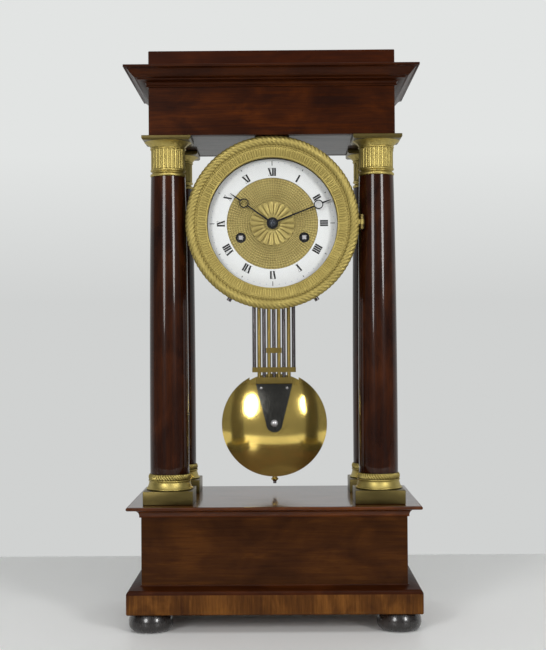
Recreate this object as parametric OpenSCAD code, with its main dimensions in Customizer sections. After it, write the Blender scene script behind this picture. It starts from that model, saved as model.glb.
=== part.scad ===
// Portico mantel clock: four columns, a drum movement hung under the entablature
// and a gridiron pendulum. Millimetres, +Z up, front towards -Y, origin at the
// centre of the footprint on the shelf.

/* [Feet and base] */
// Width of the plinth and of the base top
case_w = 250; // [244:1:262]
// Depth of the plinth and of the base top
case_d = 156; // [152:1:168]
// Diameter of a bun foot
foot_d = 38; // [30:1:42]
// Height of a bun foot
foot_h = 16; // [12:0.5:22]
// Diameter of the neck ring over a bun foot
foot_neck_d = 30; // [24:1:36]
// Height of the neck ring over a bun foot
foot_neck_h = 2.4; // [1.5:0.1:4]
// Diameter of the flat that a foot stands on
foot_pad_d = 22; // [14:1:28]
// Distance from the plinth's edges to a foot's centre
foot_inset = 19; // [19:0.5:26]
// Height of the plinth with its sloping edge
plinth_h = 23.5; // [18:0.5:30]
// Height of the plinth's sloping top edge
plinth_slope_h = 6.5; // [2:0.5:8]
// Radius of the plinth's lower edge
plinth_edge_r = 1.5; // [0.5:0.25:3]
// Overhang of the plinth and the base top past the base box
base_overhang = 11.75; // [8:0.25:15]
// Height of the base box
base_h = 57.5; // [50:0.5:75]
// Wall of the base box
base_wall = 10; // [6:0.5:12]
// Height of the moulded base top
base_top_h = 9.7; // [8:0.1:14]
// Thickness of the lip of the base top
base_top_lip = 3.2; // [2:0.1:5]

/* [Columns] */
// Half the spacing of the columns across
column_x = 90.6; // [90:0.1:92]
// Half the spacing of the columns front to back
column_y = 43.5; // [42:0.1:46]
// Width of the square foot of a column base
column_foot_w = 42.8; // [38:0.2:46]
// Height of the square foot of a column base
column_foot_h = 11.8; // [8:0.2:16]
// Diameter of the lower torus of a column base
base_torus_d = 40.6; // [37:0.2:42]
// Height of the lower torus of a column base
base_torus_h = 1.8; // [1.4:0.1:6]
// How far the flare of a column base spreads
base_flare = 1.6; // [0.8:0.1:2.2]
// Height of the flare of a column base
base_flare_h = 6.4; // [3:0.1:8]
// Diameter of the rope torus of a column base
base_rope_d = 36.9; // [35:0.2:39]
// Height of the rope torus of a column base
base_rope_h = 5.3; // [4:0.1:7]
// Diameter of a shaft at its foot
shaft_bottom_d = 33.8; // [31:0.2:34]
// Diameter of a shaft at its neck
shaft_top_d = 30; // [26:0.2:31]
// Height of a shaft
shaft_h = 257; // [252:0.5:290]
// Power that draws a shaft in towards its neck
entasis = 2.8; // [1:0.1:4]
// Diameter of the collar of a capital
collar_d = 31; // [29:0.2:34]
// Height of the collar of a capital
collar_h = 6.9; // [5:0.1:9]
// Diameter of the neck of a capital
capital_neck_d = 29.4; // [26:0.2:31]
// Height of the neck of a capital
capital_neck_h = 17; // [12:0.2:22]
// Height of the flared part of a capital
echinus_h = 6.4; // [4:0.2:9]
// Width of the square abacus
abacus_w = 42; // [38:0.2:46]
// Height of the abacus
abacus_h = 3.8; // [3:0.1:6]
// Diameter of a tie rod
tie_rod_d = 6; // [4:0.5:7]
// Clearance of a tie rod in its holes
tie_clear = 0.4; // [0.2:0.05:0.8]
// Width across the corners of a tie rod's nut
tie_nut_d = 12; // [10:0.5:13]
// Height of a tie rod's nut
tie_nut_h = 5; // [3:0.5:7]

/* [Entablature] */
// Width of the frieze and of the top block
frieze_w = 211; // [208:0.5:222]
// Depth of the frieze and of the top block
frieze_d = 125; // [122:0.5:135]
// Height of the frieze
frieze_h = 41; // [34:0.5:50]
// Wall of the frieze box
frieze_wall = 8; // [5:0.5:8]
// Thickness of the soffit board
soffit_t = 8; // [6:0.5:12]
// Overhang of the cornice past the frieze
cornice_overhang = 19.5; // [15:0.5:22]
// Height of the cornice
cornice_h = 16; // [14:0.5:22]
// Height of the flat band at the cornice's top
cornice_band_h = 2; // [1.5:0.1:5]
// How far the cornice's lower hollow comes out
cornice_hollow_out = 7.6; // [5:0.2:9]
// Height of the cornice's bead and lower hollow
cornice_hollow_h = 5.2; // [4:0.2:6]
// Step between the cornice's hollow and its slope
cornice_step = 1; // [0.6:0.1:1.5]
// Height of the block on the cornice
top_block_h = 15.4; // [12:0.2:26]

/* [Drum, bezel and dial] */
// Outer diameter of the bezel
bezel_d = 149.2; // [144:0.2:150]
// Diameter of the opening in the bezel
bezel_opening_d = 112; // [108:0.2:112.2]
// Width of the bezel's rope moulding
bezel_rope_w = 8.3; // [6:0.1:9]
// Rise of the bezel's rope moulding
bezel_rope_rise = 2; // [1.2:0.1:2.6]
// Gap between the bezel and the soffit
bezel_gap = 0.4; // [0.3:0.1:3]
// Diameter of the glass
glass_d = 117.2; // [114:0.2:119]
// Thickness of the glass
glass_t = 1.5; // [1:0.1:2]
// Rise of the glass at its middle
glass_rise = 5; // [4:0.5:7]
// Clearance round the glass
glass_clear = 0.2; // [0.1:0.05:0.4]
// Outer diameter of the drum
drum_d = 124; // [122:0.5:130]
// Wall of the drum
drum_wall = 1.5; // [1:0.1:3]
// Diameter of the drum's front flange
flange_d = 140; // [134:1:144]
// Length of the drum behind the back plate
drum_tail = 24; // [22:0.5:30]
// Width of the lug that hangs the drum
lug_w = 30; // [20:1:40]
// Y of the front of the enamel ring
dial_y = -49; // [-50:0.5:-47]
// Gap between the enamel ring and the inside of the drum
dial_rim_gap = 4.2; // [3.4:0.1:5]
// Diameter of the gilt centre of the dial
dial_centre_d = 79.2; // [76:0.2:82]
// Thickness of the enamel ring
dial_ring_t = 2; // [1.5:0.1:3]
// Thickness of the plate behind the dial
dial_plate_t = 2; // [1.5:0.1:3]
// Diameter of a winding hole
winding_hole_d = 9; // [7:0.2:10]
// Angle between the drop line and a dial clamp screw
clamp_angle = 30; // [22:1:40]
// Diameter of the bezel's hinge pin
hinge_pin_d = 1.8; // [1.4:0.1:2.2]
// Radius of a hinge knuckle
knuckle_r = 2; // [1.8:0.1:2.4]

/* [Hands] */
// Hour that the hands show
shown_hour = 10; // [0:1:11]
// Minutes that the hands show
shown_minute = 11.4; // [0:0.1:59.9]
// Length of the hour hand
hour_hand_l = 44.7; // [38:0.5:47]
// Distance of the hour hand's eye from the centre
hour_eye_at = 30.2; // [24:0.2:33]
// Length of the minute hand
minute_hand_l = 54.4; // [48:0.2:55]
// Distance of the minute hand's eye from the centre
minute_eye_at = 43; // [36:0.2:45]
// Outer radius of the eyes in the hands
eye_r = 4.1; // [3:0.1:5]
// Wall of the ring round an eye
eye_wall = 0.9; // [0.6:0.1:1.5]
// Width of a hand's blade at its boss
hand_w = 1.6; // [1.2:0.1:2.6]
// Width of a hand at its tip
hand_tip_w = 0.5; // [0.3:0.1:1]
// Thickness of the hands
hand_t = 0.8; // [0.5:0.1:1]
// Radius of the boss of the hands
boss_r = 5; // [4.6:0.1:6]

/* [Movement] */
// Radius of the plates
plate_r = 52; // [51.5:0.25:54]
// Thickness of the plates
plate_t = 2; // [1.5:0.1:3]
// Space between the plates
plate_gap = 34; // [33.5:0.25:36]
// Space between the dial plate and the front plate
motion_gap = 5; // [5:0.1:7]
// Distance of a winding arbor from the centre line
winding_x = 27.5; // [27:0.1:28]
// Drop of the winding arbors under the dial's centre
winding_drop = 12.2; // [11.5:0.1:13]
// Height of the anchor's axis over the dial's centre
anchor_rise = 42; // [41:0.25:44]
// Teeth on a barrel's great wheel
great_teeth = 96; // [90:6:102]
// Teeth on a second wheel
second_teeth = 72; // [66:6:78]
// Teeth on the centre wheel
centre_teeth = 96; // [90:6:102]
// Teeth on the third wheel
third_teeth = 88; // [82:6:94]
// Teeth on the escape wheel
escape_teeth = 29; // [27:1:31]
// Teeth on the pin wheel
pin_wheel_teeth = 72; // [66:6:78]
// Module of the great wheels
great_module = 0.42; // [0.4:0.01:0.43]
// Module of the second wheels
second_module = 0.44; // [0.42:0.01:0.46]
// Module of the centre wheel
centre_module = 0.33; // [0.32:0.005:0.34]
// Module of the third wheel
third_module = 0.28; // [0.27:0.005:0.29]
// Module of the pin wheel
pin_module = 0.38; // [0.36:0.01:0.39]
// Module of the motion work
motion_module = 0.5; // [0.45:0.01:0.52]
// Radius of the escape wheel
escape_r = 11.4; // [10.5:0.1:11.6]
// Distance from the escape wheel to the anchor's axis
anchor_reach = 17; // [16:0.1:18]
// Gap between the pallets and the escape wheel
pallet_gap = 1.4; // [1.2:0.1:1.8]
// Radius of a train arbor
arbor_r = 1.2; // [1:0.1:1.4]
// Radius of a pivot
pivot_r = 0.6; // [0.4:0.05:0.9]
// Running clearance of a pivot or shaft
run_clear = 0.05; // [0.03:0.01:0.1]
// Outer radius of a spring barrel
barrel_r = 17.5; // [16:0.1:18]
// Wall of a spring barrel
barrel_wall = 1.2; // [0.8:0.1:2]
// Height of a spring barrel
barrel_h = 16; // [12:0.5:17]
// Side of the winding squares
winding_square = 3.4; // [2.8:0.1:3.4]
// Radius of the winding arbors
winding_r = 2.4; // [2.4:0.05:2.8]
// Thickness of the mainsprings
spring_t = 0.5; // [0.3:0.05:0.6]
// Turns of the mainsprings
spring_turns = 7; // [5:1:8]
// Diameter of the bell
bell_d = 64; // [56:0.5:66]
// Height of the bell
bell_h = 14; // [10:0.5:15]
// Wall of the bell
bell_wall = 1.5; // [1:0.1:2.5]
// Drop of the bell's centre under the dial's centre
bell_drop = 10; // [8:0.5:13]

/* [Pendulum] */
// Distance of the pendulum behind the drum
pendulum_gap = 16; // [15:0.5:18]
// Gap between the bob and the base top
bob_floor_gap = 13.4; // [9:0.2:18]
// Diameter of a gridiron rod
rod_d = 3.5; // [2.6:0.1:3.8]
// Spacing of the gridiron rods
rod_pitch = 4.6; // [4.4:0.05:4.8]
// Thickness of the gridiron's cross bars
bar_t = 5; // [4.4:0.1:7]
// Height of the top bar
top_bar_h = 5; // [4:0.1:7]
// Height of the small bar
small_bar_h = 4.9; // [4:0.1:6]
// Height of the full bar
full_bar_h = 4.6; // [4:0.1:6]
// Height of the bottom bar
bottom_bar_h = 5.7; // [4:0.1:7]
// Overhang of the top and the full bar past their outer rods
full_bar_over = 0.2; // [0:0.1:1]
// Overhang of the small bar past its rods
small_bar_over = 0.9; // [0:0.1:2]
// Overhang of the bottom bar past its rods
bottom_bar_over = 1.5; // [0:0.1:2.5]
// Drop from the suspension to the top bar's middle
top_bar_drop = 7; // [6.5:0.1:9]
// Height of the small bar over the bob's middle
small_bar_rise = 68.5; // [66:0.1:72]
// Height of the full bar over the bob's middle
full_bar_rise = 50.4; // [49.5:0.1:53]
// Height of the bottom bar over the bob's middle
bottom_bar_rise = 40.5; // [40:0.1:42]
// Diameter of the bob
bob_d = 98; // [92:0.5:104]
// Thickness of the bob at its middle
bob_t = 26; // [20:0.5:30]
// Thickness of the bob at its rim
bob_rim_t = 4; // [3:0.5:8]
// Width of the slot in the bob's top
bob_slot_w = 45.8; // [43:0.2:50]
// Gap between the bottom bar and the slot's back
bob_slot_back = 0.5; // [0.4:0.1:1]
// Gap between the bottom bar and the slot's floor
bob_slot_gap = 1.4; // [1.3:0.1:3]
// Thickness of the steel shield on the bob
shield_t = 1.5; // [1:0.1:2.5]
// Width of the shield at its top
shield_top_w = 34; // [30:0.5:40]
// Radius of the shield's round end
shield_end_r = 7.5; // [6:0.1:9]
// Height of the shield's round end over the bob's middle
shield_end_rise = 0.4; // [-2:0.1:3]
// Diameter of the rating thread
thread_d = 3; // [2.4:0.1:3.4]
// Diameter of the rating nut
nut_d = 6.4; // [5.4:0.2:9]
// Height of the rating nut
nut_h = 4; // [3:0.2:6]
// Length of thread under the rating nut
thread_tail = 2.2; // [1.8:0.1:5]

/* [Hidden] */
$fn = 64;

// Colours
MAHOGANY = [0.30, 0.14, 0.07];
EBONY = [0.10, 0.08, 0.07];
GILT = [0.72, 0.60, 0.30];
BRASS = [0.70, 0.56, 0.27];
STEEL = [0.45, 0.46, 0.48];
BLUED = [0.08, 0.08, 0.11];
ENAMEL = [0.91, 0.91, 0.90];
GLASS = [0.80, 0.86, 0.88, 0.25];

// Corners of the portico
FRONT_LEFT = [-1, -1];
FRONT_RIGHT = [1, -1];
REAR_LEFT = [-1, 1];
REAR_RIGHT = [1, 1];
CORNERS = [FRONT_LEFT, FRONT_RIGHT, REAR_LEFT, REAR_RIGHT];

// Heights up the case
plinth_z = foot_h;
base_z = plinth_z + plinth_h;
base_top_z = base_z + base_h;
deck_z = base_top_z + base_top_h;
turned_h = base_torus_h + base_flare_h + base_rope_h;
shaft_z = deck_z + column_foot_h + turned_h;
capital_z = shaft_z + shaft_h;
capital_h = collar_h + capital_neck_h + echinus_h + abacus_h;
soffit_z = capital_z + capital_h;
cornice_z = soffit_z + frieze_h;
top_block_z = cornice_z + cornice_h;
base_w = case_w - 2 * base_overhang;
base_d = case_d - 2 * base_overhang;
tie_hole_d = tie_rod_d + 2 * tie_clear;
tie_tail = 2;

// Depths through the drum, front to back
dial_z = soffit_z - bezel_gap - bezel_d / 2;
flange_t = 2;
seat_y = dial_y - 3;
dial_plate_y = dial_y + dial_ring_t;
dial_back_y = dial_plate_y + dial_plate_t;
front_plate_y = dial_back_y + motion_gap;
train_y = front_plate_y + plate_t;
back_plate_y = train_y + plate_gap;
rear_y = back_plate_y + plate_t;
drum_rear_y = rear_y + drum_tail;
pendulum_y = drum_rear_y + pendulum_gap;
drum_r = drum_d / 2;
drum_in_r = drum_r - drum_wall;
ledge_r = drum_in_r - 4;
dial_ring_r = drum_in_r - dial_rim_gap;
ledge_t = 2;
rim_clear = 0.3;
clamp_y = dial_plate_y + dial_plate_t / 2;
clamp_r = 1.2;
clamp_head_r = 2;
clamp_l = bezel_d / 2 + 2.6;
clamp_head_l = 5;

// Bezel and its hinge; heights are measured forwards from the drum's flange
bezel_r = bezel_d / 2;
bezel_in_r = bezel_opening_d / 2;
glass_r = glass_d / 2;
glass_seat_h = 4;
lip_h = 1.2;
rope_at = bezel_r - bezel_rope_w / 2;
rope_h = 6.75;
rope_arc_r = (pow(bezel_rope_w / 2, 2) + pow(bezel_rope_rise, 2)) / (2 * bezel_rope_rise);
band_out_r = bezel_r - bezel_rope_w - 1.5;
band_in_r = bezel_in_r + 1.8;
band_h = 7.4;
hinge_gap = 0.3;
hinge_x = bezel_r + knuckle_r + hinge_gap;
hinge_y = seat_y - rope_h;
knuckle_h = 4;
knuckle_gap = 0.3;
hinge_h = 3 * knuckle_h + 2 * knuckle_gap;
hinge_web_t = 1.1;
hinge_web_x = hinge_x - knuckle_r;
tab_t = 2;

// Trains: pinion leaves, wheel planes behind the front plate, arbor places
great_pinion = 12;
small_pinion = 8;
wheel_t = 1.5;
great_t = 2.5;
pinion_over = 0.5;
tooth_top = 0.85;
tooth_root = 1.25;
tooth_share = 0.44;
leaf_share = 0.40;
second_at = 2;
centre_at = 5.5;
escape_at = 15;
barrel_at = 9;
great_at = barrel_at + barrel_h;
rear_wheel_at = great_at + great_t + 1.5;
shoulder = 0.3;
strong_pivot_r = 2 * pivot_r;
going_p = [winding_x, -winding_drop];
strike_p = [-winding_x, -winding_drop];
centre_p = [0, 0];
anchor_p = [0, anchor_rise];
escape_p = anchor_p - [0, anchor_reach];
great_mesh = great_module * (great_teeth + great_pinion) / 2;
second_mesh = second_module * (second_teeth + small_pinion) / 2;
centre_mesh = centre_module * (centre_teeth + small_pinion) / 2;
third_mesh = third_module * (third_teeth + small_pinion) / 2;
pin_mesh = pin_module * (pin_wheel_teeth + small_pinion) / 2;
going_second_p = meet(going_p, great_mesh, centre_p, second_mesh, -1);
third_p = meet(centre_p, centre_mesh, escape_p, third_mesh, 1);
strike_second_p = strike_p + great_mesh * ray(-25);
pin_wheel_p = strike_second_p + second_mesh * ray(-20);
fly_p = pin_wheel_p + pin_mesh * ray(-90);
hammer_p = pin_wheel_p + 21.5 * ray(-16);
pin_count = 10;
pin_r = 0.6;
pin_circle_r = 10;
pin_l = 2.2;

// Motion work
cannon_leaves = 12;
minute_teeth = 36;
minute_leaves = 10;
hour_teeth = 40;
motion_mesh = motion_module * (cannon_leaves + minute_teeth) / 2;
hour_module = 2 * motion_mesh / (minute_leaves + hour_teeth);
motion_t = 1.2;
minute_p = motion_mesh * ray(150);
cannon_at = 1;
hour_at = cannon_at + motion_t + 0.9;
centre_r = 1.5;
cannon_r = 2.2;
pipe_in_r = cannon_r + 0.25;
pipe_r = 3.6;
hour_hand_y = dial_y - 1.6;
minute_hand_y = hour_hand_y - hand_t - 0.8;
fit = 0.03;
minute_angle = 6 * shown_minute;
hour_angle = 30 * shown_hour + shown_minute / 2;
dial_foot_r = 44;
dial_foot_d = 3;
pillars = [[36, 28], [-36, 28], [-28, -38], [20.5, -42]];
pillar_r = 2.5;
pillar_pin_r = 1.5;
bell_y = rear_y + 7;
bell_p = [0, -bell_drop];
stud_r = 2;
bell_seat = 0.4;
hammer_head_r = 3.6;
hammer_head_l = 6;
hammer_gap = 1.8;
hammer_y = bell_y + 3;
hammer_head_p = bell_p + [bell_d / 2 + hammer_gap + hammer_head_l / 2, 0];

// Pendulum
pivot_z = dial_z + anchor_rise;
bob_z = deck_z + bob_floor_gap + bob_d / 2;
rod_r = rod_d / 2;
rods = 9;
top_bar_z = pivot_z - top_bar_drop;
small_bar_z = bob_z + small_bar_rise;
full_bar_z = bob_z + full_bar_rise;
bottom_bar_z = bob_z + bottom_bar_rise;
slot_floor_z = bottom_bar_z - bottom_bar_h / 2 - bob_slot_gap;
bob_r = bob_d / 2;
bob_rise = (bob_t - bob_rim_t) / 2;
bob_ball_r = (bob_r * bob_r + bob_rise * bob_rise) / (2 * bob_rise);
bob_ball_at = bob_ball_r - bob_t / 2;
nut_z = bob_z - bob_r - nut_h - 0.2;
shield_gap = 0.1;
shield_top_gap = 0.3;
cheek = [3, 7, 5.5];
cheek_z = pivot_z + 2.6;
cheek_gap = 0.9;
cheek_pin_r = 1;
cock_arm = [3, 9];
cock_base = [30, 14, 4];
blade_t = 0.4;
screw_r = 2;
screw_head_r = 4;
screw_head_h = 2.6;
screw_bite = 9;
lug_y0 = dial_back_y + 2;
lug_y1 = drum_rear_y - 12;
lug_screw_y = [lug_y0 + 12, lug_y1 - 12];
cock_screw_x = [-10, 10];
crutch_y = drum_rear_y + 9;
crutch_t = 2;
crutch_w = 3.4;
crutch_l = 22;
tine_t = 0.7;

function ray(a) = [cos(a), sin(a)];
function angle_to(p, q) = atan2(q[1] - p[1], q[0] - p[0]);
function arc(c, r, a0, a1, n = 8) =
    [for (i = [0:n]) c + r * ray(a0 + (a1 - a0) * i / n)];

// Point at distance rp from p and rq from q, left of the way from p to q where side is 1
function meet(p, rp, q, rq, side) =
    let (
        d = norm(q - p),
        u = (q - p) / d,
        along = (rp * rp - rq * rq + d * d) / (2 * d),
        off = sqrt(rp * rp - along * along)
    )
    p + along * u + side * off * [-u[1], u[0]];

// Radius of an arbor that stays under the roots of its small pinion
function pinion_core(mod) = 0.7 * mod * small_pinion / 2;

// Outline of a toothed wheel with a tooth's middle at the angle phase
function gear(teeth, mod, share, phase) =
    let (step = 360 / teeth, r = mod * teeth / 2, half = step * share / 2)
    [for (i = [0:teeth - 1]) let (a = phase + i * step) each [
        (r - tooth_root * mod) * ray(a - half * 1.1),
        r * ray(a - half),
        (r + tooth_top * mod) * ray(a - half * 0.45),
        (r + tooth_top * mod) * ray(a + half * 0.45),
        r * ray(a + half),
        (r - tooth_root * mod) * ray(a + half * 1.1)
    ]];

// Puts a shape that is drawn flat at depth y on the dial's axes, growing to the front
module at_dial(p, y) {
    translate([p[0], y, dial_z + p[1]]) rotate([90, 0, 0]) children();
}

// Same for the train, with the depth counted back from the front plate
module in_train(p, at) {
    at_dial(p, train_y + at) children();
}

module rod_y(p, y0, y1, r) {
    at_dial(p, y1) cylinder(h = y1 - y0, r = r);
}

module toothed(teeth, mod, share, phase, t) {
    linear_extrude(height = t) polygon(gear(teeth, mod, share, phase));
}

// Arbor between the plates, with a pivot in each
module arbor(p, r = arbor_r) {
    rod_y(p, train_y + shoulder, back_plate_y - shoulder, r);
    rod_y(p, front_plate_y, back_plate_y + plate_t, pivot_r);
}

// Wheel and pinion of one train step; they stand so that both mesh at rest
module train_wheel(p, next, teeth, mod, at) {
    in_train(p, at + wheel_t) toothed(teeth, mod, tooth_share, angle_to(p, next), wheel_t);
}

module train_pinion(p, driver, leaves, mod, at, t) {
    in_train(p, at + t + pinion_over)
        toothed(leaves, mod, leaf_share, angle_to(p, driver) + 180 / leaves, t + 2 * pinion_over);
}

// Slab whose moulded edge runs round all four sides; edge lists [overhang, height]
module moulded(w, d, edge) {
    intersection() {
        rotate([90, 0, 0])
            linear_extrude(height = w + d, center = true) polygon(both_sides(w / 2, edge));
        rotate([90, 0, 90])
            linear_extrude(height = w + d, center = true) polygon(both_sides(d / 2, edge));
    }
}

function both_sides(half, edge) = concat(
    [for (p = edge) [half + p[0], p[1]]],
    [for (i = [len(edge) - 1:-1:0]) [-half - edge[i][0], edge[i][1]]]
);

module torus_2d(r, z, h) {
    translate([r - h / 2, z + h / 2]) circle(h / 2);
    translate([0, z]) square([r - h / 2, h]);
}

module at_column(corner, z) {
    translate([corner[0] * column_x, corner[1] * column_y, z]) children();
}

module tie_hole(z, h) {
    translate([0, 0, z - 1]) cylinder(h = h + 2, d = tie_hole_d);
}

// Room for a tie rod's nut and the rod's end, where a wall is near
module tie_nut_room(z0, z1) {
    translate([0, 0, z0 - 1]) cylinder(h = z1 - z0 + 2, d = tie_nut_d + 2 * tie_clear);
}

module block(w, d, z, h) {
    translate([-w / 2, -d / 2, z]) cube([w, d, h]);
}

// Case

module bun_feet() {
    bun_h = foot_h - foot_neck_h;
    bun_outline = [for (i = [0:10]) let (t = i / 10, swell = sin(180 * pow(t, 0.9)))
        [foot_pad_d / 2 + (foot_d - foot_pad_d) / 2 * swell, bun_h * t]];
    color(EBONY)
        for (c = CORNERS)
            translate([c[0] * (case_w / 2 - foot_inset), c[1] * (case_d / 2 - foot_inset), 0])
                rotate_extrude()
                    polygon(concat(
                        [[0, 0]], bun_outline,
                        [[foot_neck_d / 2, bun_h], [foot_neck_d / 2, foot_h], [0, foot_h]]
                    ));
}

module plinth() {
    flat_h = plinth_h - plinth_slope_h;
    edge = concat(
        arc([-plinth_edge_r, plinth_edge_r], plinth_edge_r, -90, 0, 4),
        arc([-plinth_slope_h * 0.6, flat_h], plinth_slope_h * 0.6, 0, 90, 5),
        [[-base_overhang + 1, plinth_h], [-base_overhang, plinth_h]]
    );
    color(MAHOGANY) translate([0, 0, plinth_z]) moulded(case_w, case_d, edge);
}

module base_box() {
    color(MAHOGANY) difference() {
        block(base_w, base_d, base_z, base_h);
        block(base_w - 2 * base_wall, base_d - 2 * base_wall, base_z - 1, base_h + 2);
        for (c = CORNERS) at_column(c, 0) tie_nut_room(base_top_z - tie_nut_h - tie_tail, base_top_z);
    }
}

module base_top() {
    cove_r = base_top_h - base_top_lip - 1.2;
    edge = concat(
        [[-base_overhang + 1.4, 0], [-base_overhang + 1.4, 1.2]],
        arc([-base_overhang + 1.4 + cove_r, 1.2], cove_r, 180, 90, 6),
        arc([-base_top_lip / 2, base_top_h - base_top_lip / 2], base_top_lip / 2, -90, 90, 6)
    );
    color(MAHOGANY) difference() {
        translate([0, 0, base_top_z]) moulded(case_w, case_d, edge);
        for (c = CORNERS) at_column(c, 0) tie_hole(base_top_z, base_top_h);
    }
}

module column_base(corner) {
    neck_r = shaft_bottom_d / 2;
    rope_z = base_torus_h + base_flare_h;
    flare_out = (base_torus_d - base_torus_h) / 2;
    flare_r = (pow(base_flare, 2) + pow(base_flare_h, 2)) / (2 * base_flare);
    color(GILT) at_column(corner, deck_z) difference() {
        union() {
            block(column_foot_w, column_foot_w, 0, column_foot_h);
            translate([0, 0, column_foot_h]) rotate_extrude() {
                torus_2d(base_torus_d / 2, 0, base_torus_h);
                difference() {
                    translate([0, base_torus_h]) square([flare_out, base_flare_h]);
                    translate([flare_out - base_flare + flare_r, rope_z]) circle(flare_r);
                }
                torus_2d(base_rope_d / 2, rope_z, base_rope_h);
                translate([0, rope_z]) square([neck_r, base_rope_h]);
            }
        }
        tie_hole(0, column_foot_h + turned_h);
    }
}

module column_shaft(corner) {
    steps = 14;
    outline = [for (i = [0:steps]) let (t = i / steps)
        [shaft_bottom_d / 2 - (shaft_bottom_d - shaft_top_d) / 2 * pow(t, entasis), shaft_h * t]];
    color(MAHOGANY) at_column(corner, shaft_z)
        rotate_extrude()
            polygon(concat([[tie_hole_d / 2, 0]], outline, [[tie_hole_d / 2, shaft_h]]));
}

module capital(corner) {
    neck_r = capital_neck_d / 2;
    ring_h = collar_h / 2;
    flare_z = collar_h + capital_neck_h;
    flare_r = abacus_w / 2 - 0.8;
    color(GILT) at_column(corner, capital_z) difference() {
        union() {
            rotate_extrude() {
                torus_2d(collar_d / 2, 0, ring_h);
                torus_2d(collar_d / 2 - 0.3, ring_h + 0.6, ring_h - 0.6);
                square([neck_r, flare_z]);
                translate([0, flare_z]) difference() {
                    square([flare_r, echinus_h]);
                    translate([flare_r + 0.4, 0]) circle(flare_r + 0.4 - neck_r);
                }
            }
            block(abacus_w, abacus_w, flare_z + echinus_h, abacus_h);
        }
        tie_hole(0, capital_h);
    }
}

module column_base_front_left() { column_base(FRONT_LEFT); }
module column_base_front_right() { column_base(FRONT_RIGHT); }
module column_base_rear_left() { column_base(REAR_LEFT); }
module column_base_rear_right() { column_base(REAR_RIGHT); }
module column_shaft_front_left() { column_shaft(FRONT_LEFT); }
module column_shaft_front_right() { column_shaft(FRONT_RIGHT); }
module column_shaft_rear_left() { column_shaft(REAR_LEFT); }
module column_shaft_rear_right() { column_shaft(REAR_RIGHT); }
module capital_front_left() { capital(FRONT_LEFT); }
module capital_front_right() { capital(FRONT_RIGHT); }
module capital_rear_left() { capital(REAR_LEFT); }
module capital_rear_right() { capital(REAR_RIGHT); }

module tie_nut(z) {
    translate([0, 0, z]) difference() {
        cylinder(h = tie_nut_h, d = tie_nut_d, $fn = 6);
        translate([0, 0, -1]) cylinder(h = tie_nut_h + 2, r = tie_rod_d / 2 + run_clear);
    }
}

module tie_rods() {
    low = base_top_z - tie_nut_h;
    high = soffit_z + soffit_t;
    color(STEEL) for (c = CORNERS) at_column(c, 0) {
        translate([0, 0, low - tie_tail])
            cylinder(h = high + tie_nut_h - low + 2 * tie_tail, d = tie_rod_d);
        tie_nut(low);
        tie_nut(high);
    }
}

module soffit_board() {
    color(MAHOGANY) difference() {
        block(frieze_w - 2 * frieze_wall, frieze_d - 2 * frieze_wall, soffit_z, soffit_t);
        for (c = CORNERS) at_column(c, 0) tie_hole(soffit_z, soffit_t);
        for (y = lug_screw_y) screw_hole([0, y]);
        for (x = cock_screw_x) screw_hole([x, pendulum_y]);
    }
}

module screw_hole(p) {
    translate([p[0], p[1], soffit_z - 1]) cylinder(h = soffit_t + 2, r = screw_r + fit);
}

module frieze_box() {
    color(MAHOGANY) difference() {
        block(frieze_w, frieze_d, soffit_z, frieze_h);
        block(frieze_w - 2 * frieze_wall, frieze_d - 2 * frieze_wall, soffit_z - 1, frieze_h + 2);
        for (c = CORNERS) at_column(c, 0)
            tie_nut_room(soffit_z + soffit_t, soffit_z + soffit_t + tie_nut_h + tie_tail);
    }
}

module cornice() {
    bead_r = 0.9;
    foot = 1.4;
    ease = 0.6;
    round_r = 0.5;
    wave = 0.09;
    step_out = cornice_hollow_out + cornice_step;
    step_h = cornice_hollow_h + cornice_step;
    hollow_w = cornice_hollow_out - foot;
    hollow_rise = cornice_hollow_h - 2 * bead_r;
    slope_w = cornice_overhang - step_out - 2 * ease;
    slope_h = cornice_h - cornice_band_h - step_h;
    edge = concat(
        arc([bead_r, bead_r], bead_r, -90, 90, 5),
        [for (i = [0:7]) let (a = 90 * i / 7)
            [foot + hollow_w * (1 - cos(a)), 2 * bead_r + hollow_rise * sin(a)]],
        [[step_out, cornice_hollow_h], [step_out, step_h]],
        [for (i = [0:8]) let (t = i / 8)
            [step_out + ease + slope_w * t, step_h + slope_h * (t - wave * sin(360 * t))]],
        [[cornice_overhang, cornice_h - cornice_band_h]],
        arc([cornice_overhang - round_r, cornice_h - round_r], round_r, 0, 90, 3)
    );
    color(MAHOGANY) translate([0, 0, cornice_z]) moulded(frieze_w, frieze_d, edge);
}

module top_block() {
    color(MAHOGANY) block(frieze_w, frieze_d, top_block_z, top_block_h);
}

// Drum, bezel and dial

module drum_shell() {
    color(BRASS) difference() {
        union() {
            rod_y([0, 0], seat_y, drum_rear_y, drum_r);
            rod_y([0, 0], seat_y, seat_y + flange_t, flange_d / 2);
            translate([-lug_w / 2, lug_y0, dial_z])
                cube([lug_w, lug_y1 - lug_y0, soffit_z - dial_z]);
            for (s = [-1, 1]) hinge_knuckle(s);
        }
        difference() {
            rod_y([0, 0], seat_y - 1, drum_rear_y + 1, drum_in_r);
            difference() {
                rod_y([0, 0], dial_back_y, dial_back_y + ledge_t, drum_r);
                rod_y([0, 0], dial_back_y - 1, dial_back_y + ledge_t + 1, ledge_r);
            }
        }
        for (a = [-clamp_angle, clamp_angle])
            clamp_at(a) cylinder(h = drum_d, r = clamp_r + fit);
        for (y = lug_screw_y)
            translate([0, y, soffit_z - screw_bite]) cylinder(h = screw_bite + 1, r = screw_r + fit);
        translate([hinge_x, hinge_y, dial_z - hinge_h])
            cylinder(h = 2 * hinge_h, r = hinge_pin_d / 2 + run_clear);
    }
}

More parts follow.
